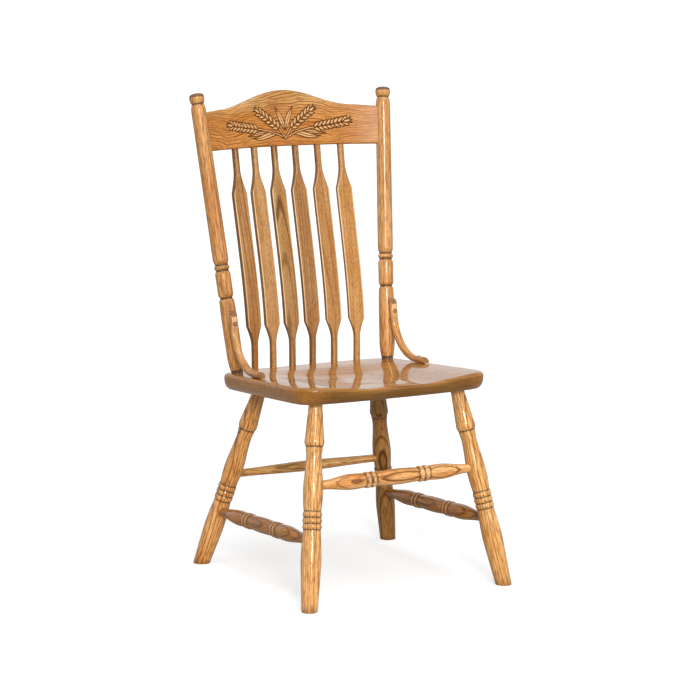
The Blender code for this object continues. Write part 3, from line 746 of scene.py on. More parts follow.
@dataclass
class SubAssembly:
    """What every sub-assembly has: a finish, its slot in the record and the shift to the row frame."""

    finish: Material
    slot: str
    shift: Matrix

    def settle(self, piece: Piece, placement: Matrix) -> None:
        """Put a piece in its place, finish it and let it stand for the CAD node of its name.

        Args:
            piece: The finished mesh.
            placement: Place in the row frame.
        """
        select_only(piece)
        piece.matrix_world = placement
        bpy.ops.object.transform_apply(location=True, rotation=True, scale=True)
        bpy.ops.object.shade_smooth_by_angle(angle=SHARP_ANGLE)
        piece.data.materials.clear()
        piece.data.materials.append(self.finish)
        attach(piece, BODY)
        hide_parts(piece.name.removesuffix(LOOK))
        LOG.info("%s: %d faces, slot %s", piece.name, len(piece.data.polygons), self.slot)

    def dress(self, piece: Piece, local: Array, billet: Billet, placement: Matrix = Matrix()) -> None:
        """Mark a piece's wood and settle it.

        Args:
            piece: The finished mesh.
            local: Coordinates along the piece, with its grain along the third, one row per vertex.
            billet: Cut of the piece.
            placement: Place in the gauge frame.
        """
        mark_wood(piece, local, billet)
        self.settle(piece, self.shift @ placement)


@dataclass
class Seat(SubAssembly):
    """Saddled plank seat, glued up from boards that run from side to side."""

    height: float = 0.440
    slope: float = 0.062
    level_y: float = 0.168
    thickness: float = 0.037
    width: float = 0.4550
    flare: float = 0.036
    depth: float = 0.4617
    centre_y: float = 0.0057
    front_bow: float = 0.015
    back_bow: float = 0.040
    front_squareness: float = 9.0
    back_squareness: float = 18.0
    top_round: float = 0.0085
    under_rise: float = 0.023
    under_inset: float = 0.016
    saddle_depth: float = 0.0160
    saddle_back_depth: float = 0.0025
    saddle_width: float = 0.420
    saddle_back_y: float = 0.150
    saddle_run: float = 0.110
    pommel_rise: float = 0.0077
    pommel_width: float = 0.050
    pommel_back_y: float = -0.060
    pommel_run: float = 0.150
    outline_points: int = 240
    outline_steps: int = 4800
    turn_weight: float = 0.060
    edge_steps: int = 9
    top_rings: int = 44
    under_rings: int = 6
    inner_share: float = 0.02
    # Painted shade on the edges and underside: how much on the front and back, and on the ends of the boards,
    # which are lit from the side
    front_glaze: float = 0.58
    side_glaze: float = 0.10
    side_from: float = 0.165
    side_run: float = 0.055
    billet: Billet = Billet(heart=0.35, lean=1.2, run=0.4, bold=0.8)

    def plane(self, y: float) -> float:
        """Height of the plank's flat top."""
        return self.height + self.slope * (self.level_y - y)

    def under(self, y: float) -> float:
        """Height of the plank's underside."""
        return self.plane(y) - self.thickness

    def top(self, x: float, y: float) -> float:
        """Height of the saddled top.

        Args:
            x: Place across the seat.
            y: Depth.

        Returns:
            The height.
        """
        across = cos(pi * x / self.saddle_width) ** 2 if abs(x) < self.saddle_width / 2.0 else 0.0
        along = smooth_step((self.saddle_back_y - y) / self.saddle_run)
        scoop = self.saddle_back_depth + (self.saddle_depth - self.saddle_back_depth) * along
        ahead = smooth_step((self.pommel_back_y - y) / self.pommel_run)
        pommel = exp(-((x / self.pommel_width) ** 2)) * ahead
        return self.plane(y) - scoop * across + self.pommel_rise * pommel

    def edge(self, angle: float) -> Vector:
        """Plan point of the edge at an angle.

        Args:
            angle: Angle in radians, anticlockwise from the middle of the right side.

        Returns:
            The point.
        """
        across, along = squared(angle, self.back_squareness if sin(angle) > 0.0 else self.front_squareness)
        half_width = (self.width - self.flare * along / 2.0) / 2.0
        bow = self.back_bow if along > 0.0 else -self.front_bow
        y = self.centre_y + along * self.depth / 2.0 - bow * across ** 2 * abs(along)
        return Vector((across * half_width, y))

    def outline(self) -> list[Vector]:
        """Walk round the edge.

        Returns:
            Plan points, anticlockwise and closer together where the edge turns.
        """
        fine = [self.edge(2.0 * pi * step / self.outline_steps) for step in range(self.outline_steps)]
        runs = [0.0]
        for index, point in enumerate(fine):
            ahead = fine[(index + 1) % len(fine)] - point
            behind = point - fine[index - 1]
            runs.append(runs[-1] + ahead.length + self.turn_weight * behind.angle(ahead))
        chosen = []
        reached = 0
        for index in range(self.outline_points):
            wanted = runs[-1] * index / self.outline_points
            while runs[reached + 1] < wanted:
                reached += 1
            share = (wanted - runs[reached]) / (runs[reached + 1] - runs[reached])
            chosen.append(fine[reached].lerp(fine[(reached + 1) % len(fine)], share))
        return chosen

    def inset(self, outline: list[Vector], distance: float) -> list[Vector]:
        """Move plan points in from the edge, square to it.

        Args:
            outline: Plan points of the edge.
            distance: How far they move in.

        Returns:
            The moved points.
        """
        moved = []
        for index, point in enumerate(outline):
            run = outline[(index + 1) % len(outline)] - outline[index - 1]
            moved.append(point + Vector((-run.y, run.x)).normalized() * distance)
        return moved

    def shrunk(self, outline: list[Vector], share: float) -> list[Vector]:
        """Plan points drawn in towards the middle of the plank, to a share of their distance."""
        middle = Vector((0.0, self.centre_y))
        return [middle + (point - middle) * share for point in outline]

    def rings(self) -> list[list[Vector]]:
        """Set out the plank's surface.

        Returns:
            Rings from the middle of the underside, round the edge, to the middle of the top.
        """
        outline = self.outline()
        quarter = [pi / 2.0 * step / self.edge_steps for step in range(self.edge_steps + 1)]
        rings = []
        lower = self.inset(outline, self.under_inset)
        for number in range(self.under_rings):
            share = self.inner_share + (1.0 - self.inner_share) * number / self.under_rings
            inner = self.shrunk(lower, share)
            rings.append([Vector((point.x, point.y, self.under(point.y))) for point in inner])
        for angle in quarter:
            ring = []
            for point in self.inset(outline, self.under_inset * (1.0 - sin(angle))):
                wall = self.top(point.x, point.y) - self.under(point.y)
                rise = min(self.under_rise, wall - self.top_round) * (1.0 - cos(angle))
                ring.append(Vector((point.x, point.y, self.under(point.y) + rise)))
            rings.append(ring)
        for angle in quarter:
            inner = self.inset(outline, self.top_round * (1.0 - cos(angle)))
            drop = self.top_round * (1.0 - sin(angle))
            rings.append([Vector((point.x, point.y, self.top(point.x, point.y) - drop)) for point in inner])
        upper = self.inset(outline, self.top_round)
        for number in range(1, self.top_rings + 1):
            inner = self.shrunk(upper, 1.0 - (1.0 - self.inner_share) * number / self.top_rings)
            rings.append([Vector((point.x, point.y, self.top(point.x, point.y))) for point in inner])
        return rings

    def build(self) -> None:
        """Model the plank and dress it."""
        rings = self.rings()
        piece = draw_out("seat", rings)
        places = station_rows(station_order(piece), rings)
        tops = np.array([self.top(x, y) for x, y, _ in places])
        # Painted shade darkens the edges and underside, most on the front and back edges, and less towards
        # the ends of the boards, which are lit from the side
        sides = unit((np.abs(places[:, 0]) - self.side_from) / self.side_run)
        hold = self.front_glaze + (self.side_glaze - self.front_glaze) * sides
        glaze = hold * unit((tops - places[:, 2]) / self.top_round)
        write_attribute(piece, "glaze", "FLOAT", glaze)
        self.dress(piece, places[:, (1, 2, 0)], self.billet)


@dataclass
class Turner:
    """Lathe work that legs, stretchers and posts share."""

    sides: int = 64
    step: float = 0.0016
    bead_rise: float = 0.0019
    groove_reach: float = 0.0018
    groove_turn: float = radians(14.0)
    groove_full: float = radians(32.0)
    bead_reach: float = 0.24
    bead_wiped: float = 0.40

    def grooves(self, outline: list[Point]) -> list[Point]:
        """Find the sharp grooves of an outline.

        Args:
            outline: Points (distance, radius).

        Returns:
            Distance along the outline and share of full glaze, for each.
        """
        marks = []
        for before, here, after in zip(outline, outline[1:], outline[2:]):
            first = Vector((here[0] - before[0], here[1] - before[1]))
            second = Vector((after[0] - here[0], after[1] - here[1]))
            turn = first.angle_signed(second, 0.0)
            if -turn > self.groove_turn:
                marks.append((here[0], min(1.0, -turn / self.groove_full)))
        return marks

    def turn(self, name: str, stations: list[Station]) -> Piece:
        """Turn a piece, leave glaze in its grooves and paint a highlight on the crests of its beads.

        Args:
            name: Name of the piece.
            stations: Distance, radius and the shape that leads there.

        Returns:
            The piece along local Z.
        """
        outline = turned_outline(stations, self.bead_rise, self.step)
        piece = turn_on_lathe(name, outline, self.sides)
        along = vertex_places(piece)[:, 2]
        glaze = np.zeros(len(along))
        for distance, full in self.grooves(outline):
            glaze = np.maximum(glaze, full * np.exp(-((along - distance) / self.groove_reach) ** 2))
        # A painted highlight lightens the crest of each bead
        for (begin, _, _), (end, _, shape) in zip(stations, stations[1:]):
            if shape is Shape.BEAD:
                crest = (along - (begin + end) / 2.0) / (self.bead_reach * (end - begin))
                glaze -= self.bead_wiped * np.exp(-(crest ** 2))
        write_attribute(piece, "glaze", "FLOAT", glaze)
        return piece


@dataclass
class Undercarriage(SubAssembly):
    """Four splayed turned legs and the four stretchers between them."""

    seat: Seat
    turner: Turner
    front_socket_inset: float = 0.0530
    front_socket_y: float = -0.159
    front_foot_spacing: float = 0.481
    rear_socket_inset: float = 0.0795
    rear_socket_y: float = 0.142
    rear_foot_spacing: float = 0.485
    foot_depth: float = 0.502
    tenon_radius: float = 0.0150
    tenon_length: float = 0.024
    front_neck: float = 0.0098
    rear_neck: float = 0.0139
    foot_taper: float = 0.0465
    # Each leg is darker over its bottom few millimetres, towards the floor
    scuffed: float = 0.009
    scuff_glaze: float = 0.55
    front_height: float = 0.2535
    side_front_height: float = 0.1423
    side_rear_height: float = 0.1215
    rear_height: float = 0.208
    stretcher_tenon: float = 0.0100
    rear_tenon: float = 0.0088
    rear_radius: float = 0.0120
    tenon_show: float = 0.025
    tenon_stop: float = 0.004
    leg_turning: tuple[Station, ...] = (
        (0.0640, 0.0203, Shape.LINE), (0.0735, 0.0211, Shape.SWELL), (0.0821, 0.0189, Shape.FALL),
        (0.0831, 0.0177, Shape.LINE), (0.0846, 0.0183, Shape.LINE), (0.1020, 0.0167, Shape.EASE),
        (0.1780, 0.0212, Shape.EASE), (0.2188, 0.0186, Shape.FALL), (0.2317, 0.0187, Shape.BEAD),
        (0.2446, 0.0187, Shape.BEAD), (0.2574, 0.0185, Shape.BEAD), (0.3270, 0.0219, Shape.SWELL))
    stretcher_turning: tuple[Station, ...] = (
        (0.0000, 0.0173, Shape.LINE), (0.0520, 0.0152, Shape.FALL), (0.0655, 0.0160, Shape.BEAD),
        (0.0790, 0.0156, Shape.BEAD), (0.1090, 0.0170, Shape.SWELL))
    # Tones also hold painted light: painted shade on the rear right leg and the side stretchers, under the
    # seat, and a paler, bluer tone for the highlights on the front legs and the front stretcher
    front_billets: Billets = (Billet(0.085, 12.0, 0.5, 0.10, 1.00, (1.12, 1.20, 1.36)),
                              Billet(0.070, 95.0, 1.0, 0.90, 1.15, (1.07, 1.13, 1.20)))
    rear_billets: Billets = (Billet(0.065, 40.0, 1.2, 1.70, 1.15, (1.00, 0.98, 1.00)),
                             Billet(0.036, 255.0, 3.0, 2.60, 1.25, (0.53, 0.51, 0.40)))
    side_billets: Billets = (Billet(0.052, 20.0, 1.6, 2.20, 1.10, (0.61, 0.50, 0.22)),
                             Billet(0.052, 20.0, 1.6, 3.10, 1.10, (0.61, 0.50, 0.22)))
    front_billet: Billet = Billet(0.046, 180.0, 1.2, 0.35, 1.10, (1.09, 1.11, 1.28))
    rear_billet: Billet = Billet(0.090, 160.0, 1.0, 1.35, 0.90, (0.91, 1.01, 1.12))

    def leg_axis(self, row: Row, side: Side) -> Axis:
        """Centre line of a leg.

        Args:
            row: Row of the leg.
            side: Side of the leg.

        Returns:
            Axis from the seat's underside to the floor.
        """
        if row is Row.FRONT:
            socket_x, socket_y = self.seat.width / 2.0 - self.front_socket_inset, self.front_socket_y
            foot_x, foot_y = self.front_foot_spacing / 2.0, -self.foot_depth / 2.0
        else:
            socket_x, socket_y = self.seat.width / 2.0 - self.rear_socket_inset, self.rear_socket_y
            foot_x, foot_y = self.rear_foot_spacing / 2.0, self.foot_depth / 2.0
        top = Vector((side.value * socket_x, socket_y, self.seat.under(socket_y)))
        return Axis(top, Vector((side.value * foot_x, foot_y, 0.0)))

    def leg_stations(self, axis: Axis, neck: float) -> list[Station]:
        """Set out the turning of a leg.

        Args:
            axis: Centre line of the leg.
            neck: Length that the tenon shows under the seat.

        Returns:
            Stations from the end of the tenon to past the floor.
        """
        stations = [(distance, self.tenon_radius, Shape.LINE) for distance in (-self.tenon_length, neck)]
        stations += [(neck + below, radius, shape) for below, radius, shape in self.leg_turning]
        swell_at, swell_radius, _ = stations[-1]
        for distance in (axis.length - 2.0 * self.scuffed, axis.length + 2.0 * self.tenon_radius):
            stations.append((distance, swell_radius - self.foot_taper * (distance - swell_at), Shape.LINE))
        return stations

    def saw_level(self, piece: Piece, placement: Matrix) -> None:
        """Place a leg, saw it off at the floor and darken its foot towards the floor.

        Args:
            piece: The turned leg.
            placement: Place in the row frame.
        """
        piece.data.transform(placement)
        select_only(piece)
        bpy.ops.object.mode_set(mode="EDIT")
        bpy.ops.mesh.select_all(action="SELECT")
        bpy.ops.mesh.bisect(plane_co=(0.0, 0.0, 0.0), plane_no=(0.0, 0.0, 1.0), use_fill=True,
                            clear_inner=True)
        close_up()
        deepen_glaze(piece, self.scuff_glaze * unit(1.0 - vertex_places(piece)[:, 2] / self.scuffed))

    def build(self) -> None:
        """Build the legs, then the stretchers."""
        self.build_legs()
        self.build_stretchers()

    def build_legs(self) -> None:
        """Turn the legs and saw them level at the floor."""
        for row, neck, billets in ((Row.FRONT, self.front_neck, self.front_billets),
                                   (Row.REAR, self.rear_neck, self.rear_billets)):
            stem = row.value + "_leg_"
            stations = self.leg_stations(self.leg_axis(row, Side.LEFT), neck)
            first = self.turner.turn(stem + Side.LEFT.word, stations)
            for billet, (side, piece) in zip(billets, pair_up(first, stem).items()):
                mark_wood(piece, vertex_places(piece), billet)
                self.saw_level(piece, self.shift @ self.leg_axis(row, side).matrix)
                self.settle(piece, Matrix())

    def stretcher_stations(self, length: float, turning: tuple[Station, ...], tenon: float) -> list[Station]:
        """Set out a stretcher, alike from the middle to each end.

        Args:
            length: Distance between the centre lines of the legs.
            turning: Stations from the middle outwards.
            tenon: Radius of the tenons.

        Returns:
            Stations from end to end, tenons included.
        """
        half = length / 2.0
        outward = [*turning, (half - self.tenon_show, tenon, Shape.EASE),
                   (half - self.tenon_stop, tenon, Shape.LINE)]
        mirrored = {Shape.SWELL: Shape.FALL, Shape.FALL: Shape.SWELL}
        stations = []
        shape = Shape.LINE
        for distance, radius, leads in reversed(outward[1:]):
            stations.append((half - distance, radius, shape))
            shape = mirrored.get(leads, leads)
        stations.append((half, outward[0][1], shape))
        return stations + [(half + distance, radius, leads) for distance, radius, leads in outward[1:]]

    def build_stretchers(self) -> None:
        """Turn the stretchers between the centre lines of the legs."""
        plain = ((0.0, self.rear_radius, Shape.LINE),)
        across = [
            ("front_stretcher", Row.FRONT, self.front_height, self.stretcher_turning, self.stretcher_tenon,
             self.front_billet),
            ("rear_stretcher", Row.REAR, self.rear_height, plain, self.rear_tenon, self.rear_billet),
        ]
        for name, row, height, turning, tenon, billet in across:
            axis = Axis(*(self.leg_axis(row, side).at_height(height) for side in Side))
            piece = self.turner.turn(name, self.stretcher_stations(axis.length, turning, tenon))
            self.dress(piece, vertex_places(piece), billet, axis.matrix)

        ends = ((Row.FRONT, self.side_front_height), (Row.REAR, self.side_rear_height))
        axes = {side: Axis(*(self.leg_axis(row, side).at_height(height) for row, height in ends))
                for side in Side}
        length = axes[Side.LEFT].length
        stations = self.stretcher_stations(length, self.stretcher_turning, self.stretcher_tenon)
        first = self.turner.turn("side_stretcher_left", stations)
        for billet, (side, piece) in zip(self.side_billets, pair_up(first, "side_stretcher_").items()):
            self.dress(piece, vertex_places(piece), billet, axes[side].matrix)


@dataclass
class BackPosts(SubAssembly):
    """Two turned posts that lean back and apart."""

    seat: Seat
    turner: Turner
    base_inset: float = 0.0360
    base_y: float = 0.168
    top_spacing: float = 0.4735
    top_y: float = 0.270
    back_height: float = 1.0545
    foot_radius: float = 0.0130
    foot_height: float = 0.0048
    foot_step: float = 0.0011
    radius: float = 0.0178
    head_radius: float = 0.0171
    tenon_length: float = 0.025
    turning: tuple[Station, ...] = (
        (0.0400, -0.0003, Shape.SWELL), (0.1100, 0.0000, Shape.LINE), (0.1595, -0.0011, Shape.FALL),
        (0.1658, -0.0042, Shape.FALL), (0.1673, -0.0042, Shape.LINE), (0.1755, -0.0008, Shape.SWELL),
        (0.2190, -0.0007, Shape.LINE), (0.2270, -0.0036, Shape.FALL), (0.2285, -0.0036, Shape.LINE),
        (0.2400, -0.0036, Shape.BEAD), (0.2415, -0.0036, Shape.LINE), (0.2530, -0.0003, Shape.SWELL))
    head: tuple[Station, ...] = (
        (0.0430, 0.97, Shape.LINE), (0.0279, 0.78, Shape.FALL), (0.0217, 0.95, Shape.SWELL),
        (0.0151, 0.99, Shape.LINE), (0.0100, 0.95, Shape.FALL), (0.0068, 0.80, Shape.FALL),
        (0.0050, 0.50, Shape.LINE), (0.0040, 0.15, Shape.LINE))
    cap_from: float = 0.0140
    cap_fade: float = 0.0022
    cap_glaze: float = 0.85
    # The left post's tone is darkened with painted shade
    billets: Billets = (Billet(0.095, 40.0, 0.6, 0.5, 1.00, (0.83, 0.79, 0.77)),
                        Billet(0.110, 65.0, 0.4, 1.6, 1.00, (0.92, 0.95, 1.04)))

    def axis(self, side: Side) -> Axis:
        """Centre line of a post.

        Args:
            side: Side of the post.

        Returns:
            Axis from the seat to the top.
        """
        base_x = side.value * (self.seat.width / 2.0 - self.base_inset)
        base = Vector((base_x, self.base_y, self.seat.plane(self.base_y)))
        return Axis(base, Vector((side.value * self.top_spacing / 2.0, self.top_y, self.back_height)))

    def build(self) -> None:
        """Turn the posts and dress them."""
        length = self.axis(Side.LEFT).length
        stations = [(-self.tenon_length, self.foot_radius, Shape.LINE),
                    (self.foot_height, self.foot_radius, Shape.LINE),
                    (self.foot_height + self.foot_step, self.foot_radius + self.foot_step, Shape.LINE)]
        stations += [(above, self.radius + thinner, shape) for above, thinner, shape in self.turning]
        stations += [(length - below, self.head_radius * share, shape) for below, share, shape in self.head]
        first = self.turner.turn("back_post_left", stations)
        cap = unit((vertex_places(first)[:, 2] - length + self.cap_from) / self.cap_fade)
        deepen_glaze(first, self.cap_glaze * cap)
        for billet, (side, piece) in zip(self.billets, pair_up(first, "back_post_").items()):
            self.dress(piece, vertex_places(piece), billet, self.axis(side).matrix)


@dataclass(frozen=True)
class Leaf:
    """Outline of a carved leaf.

    points lie along its middle line, width is its greatest width, and fullest is a power that moves the
    widest place towards the tip.
    """

    points: tuple[Point, ...]
    width: float
    fullest: float


@dataclass(frozen=True)
class Panel:
    """Face that is being carved: its places, one row each, the height of its surface and its glaze so far."""

    places: Array
    relief: Array
    glaze: Array


@dataclass
class WheatCarving:
    """Sheaf of wheat, cut with a V tool into the front of the crest rail, alike on both sides of the middle.

    Points are (distance from the middle, height above the rail's lower edge).
    """

    stalk_foot: Point = (0.0, 0.0160)
    upper_ear: tuple[Point, Point, Point] = ((0.0165, 0.0390), (0.0430, 0.0605), (0.0690, 0.0775))
    lower_ear: tuple[Point, Point, Point] = ((0.0740, 0.0385), (0.1120, 0.0440), (0.1500, 0.0510))
    upper_stalk_bend: Point = (0.0080, 0.0270)
    lower_stalk_bend: Point = (0.0340, 0.0350)
    leaves: tuple[Leaf, ...] = (
        Leaf(((0.0280, 0.0310), (0.0650, 0.0305), (0.1020, 0.0240)), 0.0085, 1.10),
        Leaf(((0.0100, 0.0205), (0.0320, 0.0395), (0.0550, 0.0120), (0.0885, 0.0195)), 0.0125, 1.10),
        Leaf(((0.0020, 0.0340), (0.0070, 0.0620), (0.0235, 0.0865)), 0.0120, 0.85))
    upper_pairs: int = 6
    lower_pairs: int = 8
    kernel_length: float = 0.0175
    kernel_width: float = 0.0074
    kernel_turn: float = radians(38.0)
    kernel_taper: float = 0.30
    end_sink: float = 0.35
    stalk_width: float = 0.0042
    awn_length: float = 0.0090
    awn_width: float = 0.0016
    awn_fullest: float = 0.8
    awn_from: float = 0.30
    awn_turns: tuple[float, ...] = (-0.5, 0.0, 0.5)
    rib_width: float = 0.0010
    rib_glaze: float = 0.85
    line_width: float = 0.0012
    groove_width: float = 0.0014
    groove_depth: float = 0.0022
    groove_glaze: float = 1.5
    dome_rise: float = 0.0009
    leaf_slope: float = 2.0
    wiped: float = 0.60
    curve_steps: int = 40

    def curve(self, points: tuple[Point, ...]) -> Array:
        """Draw a smooth line.

        Args:
            points: First point, points that the line is drawn towards, and last point.

        Returns:
            Points along the line, one row each.
        """
        way = np.linspace(0.0, 1.0, self.curve_steps)[:, None]
        rows = [np.array(point) for point in points]
        while len(rows) > 1:
            rows = [first * (1.0 - way) + last * way for first, last in zip(rows, rows[1:])]
        return rows[0]

    def blade(self, places: Array, line: Array, width: float, fullest: float) -> tuple[Array, Array]:
        """Distance of places from the edge of a blade, and from its middle line.

        Args:
            places: Points on the rail's front, one row each.
            line: Points along the blade.
            width: Widest size of the blade.
            fullest: Power that moves the widest place of a leaf towards its tip, or 0 for an even band.

        Returns:
            Distance outside the edge (below 0 inside), and distance from the middle line.
        """
        from_line = np.full(len(places), np.inf)
        way = np.zeros(len(places))
        for number, (start, end) in enumerate(zip(line, line[1:])):
            step = end - start
            share = np.clip((places - start) @ step / (step @ step), 0.0, 1.0)
            gap = np.linalg.norm(places - start - share[:, None] * step, axis=1)
            nearer = gap < from_line
            from_line[nearer] = gap[nearer]
            way[nearer] = (number + share[nearer]) / (len(line) - 1.0)
        half = width / 2.0 * (np.sin(pi * way ** fullest) if fullest else 1.0)
        return from_line - half, from_line

    def kernel(self, places: Array, foot: Array, direction: Array) -> tuple[Array, Array]:
        """Distance of places from the edge of a kernel, and how far in it they are.

        Args:
            places: Points on the rail's front, one row each.
            foot: Lower end of the kernel.
            direction: Unit vector along it.

        Returns:
            Distance outside the edge (below 0 inside), and a ring number, 0 at its middle and 1 at the edge.
        """
        half_length = self.kernel_length / 2.0
        offset = places - (foot + direction * half_length)
        along = offset @ direction
        across = offset @ np.array((-direction[1], direction[0]))
        thinner = self.kernel_taper * np.clip(along / half_length, -1.0, 1.0)
        half_width = self.kernel_width / 2.0 * (1.0 - thinner)
        ring = np.sqrt((along / half_length) ** 2 + (across / half_width) ** 2) + TINY
        slope = np.sqrt((along / half_length ** 2) ** 2 + (across / half_width ** 2) ** 2) + TINY
        return ring * (ring - 1.0) / slope, ring

    def cut(self, panel: Panel, outside: Array, dome: Array, width: float) -> None:
        """Cut one element over those before it: a V groove round it and a dome inside.

        Args:
            panel: The rail's front, changed in place.
            outside: Distance outside the element's edge.
            dome: Share of the dome's rise at each place.
            width: Half the width of the groove.
        """
        groove = unit(1.0 - np.abs(outside) / width)
        inside = outside < 0.0
        panel.relief[inside] = (self.dome_rise * dome - self.groove_depth * groove)[inside]
        held = np.minimum(1.0, self.groove_glaze * groove)
        # Domes are lightened where glaze is wiped off their high spots, and further by a painted highlight
        # for the light that they catch
        panel.glaze[inside] = (held - self.wiped * dome * (1.0 - held))[inside]
        around = ~inside & (groove > 0.0)
        panel.relief[around] = np.minimum(panel.relief, -self.groove_depth * groove)[around]
        panel.glaze[around] = np.maximum(panel.glaze, held)[around]

    def ear(self, panel: Panel, points: tuple[Point, Point, Point], pairs: int) -> None:
        """Cut an ear of wheat: awns, then pairs of kernels from its foot to its tip.

        Args:
            panel: The rail's front, changed in place.
            points: Foot, bend and tip of the ear.
            pairs: Number of pairs of kernels.
        """
        line = self.curve(points)
        stations = np.linspace(0, len(line) - 1, pairs + 1).round().astype(int)
        tip = heading(line[-2], line[-1])
        for turn in self.awn_turns:
            way = heading(line[-2], line[-1], turn)
            start = line[-1] + way * self.kernel_length * self.awn_from
            awn = start + way * np.linspace(0.0, self.awn_length, self.curve_steps)[:, None]
            outside, _ = self.blade(panel.places, awn, self.awn_width, self.awn_fullest)
            self.cut(panel, outside, np.zeros(len(outside)), self.line_width)
        kernels = [(line[station], heading(line[station], line[station + 1], turn))
                   for station in stations[:-1] for turn in (-self.kernel_turn, self.kernel_turn)]
        kernels.append((line[-1] - tip * self.kernel_length * self.end_sink, tip))
        for foot, way in kernels:
            outside, ring = self.kernel(panel.places, foot, way)
            self.cut(panel, outside, unit(1.0 - ring ** 2), self.groove_width)

    def carve(self, across: Array, height: Array) -> tuple[Array, Array]:
        """Height and glaze of the carved front.

        Args:
            across: Distance of each place from the middle of the rail.
            height: Its height above the rail's lower edge.

        Returns:
            Height above the plain front, and glaze.
        """
        places = np.column_stack((np.abs(across), height))
        panel = Panel(places, np.zeros(len(places)), np.zeros(len(places)))
        for leaf in self.leaves:
            outside, from_line = self.blade(places, self.curve(leaf.points), leaf.width, leaf.fullest)
            dome = unit(self.leaf_slope * (1.0 - 2.0 * from_line / leaf.width))
            self.cut(panel, outside, dome, self.line_width)
            rib = unit(1.0 - from_line / self.rib_width)
            ribbed = (outside < 0.0) & (rib > 0.0)
            panel.relief[ribbed] -= (self.groove_depth * rib)[ribbed]
            panel.glaze[ribbed] = np.maximum(panel.glaze, self.rib_glaze * rib)[ribbed]
        for bend, ear in ((self.lower_stalk_bend, self.lower_ear), (self.upper_stalk_bend, self.upper_ear)):
            line = self.curve((self.stalk_foot, bend, ear[0]))
            outside, from_line = self.blade(places, line, self.stalk_width, 0.0)
            self.cut(panel, outside, unit(1.0 - from_line / self.stalk_width), self.line_width)
        self.ear(panel, self.lower_ear, self.lower_pairs)
        self.ear(panel, self.upper_ear, self.upper_pairs)
        return panel.relief, panel.glaze


@dataclass(frozen=True)
class Swirl:
    """Bend in a board's figure near its lower edge.

    place is its distance from the middle, above 0 to the right, lift how far it raises the lines, or lowers
    them where it is below 0, reach half its width, and height where it has faded out above the edge.
    """

    place: float
    lift: float
    reach: float
    height: float


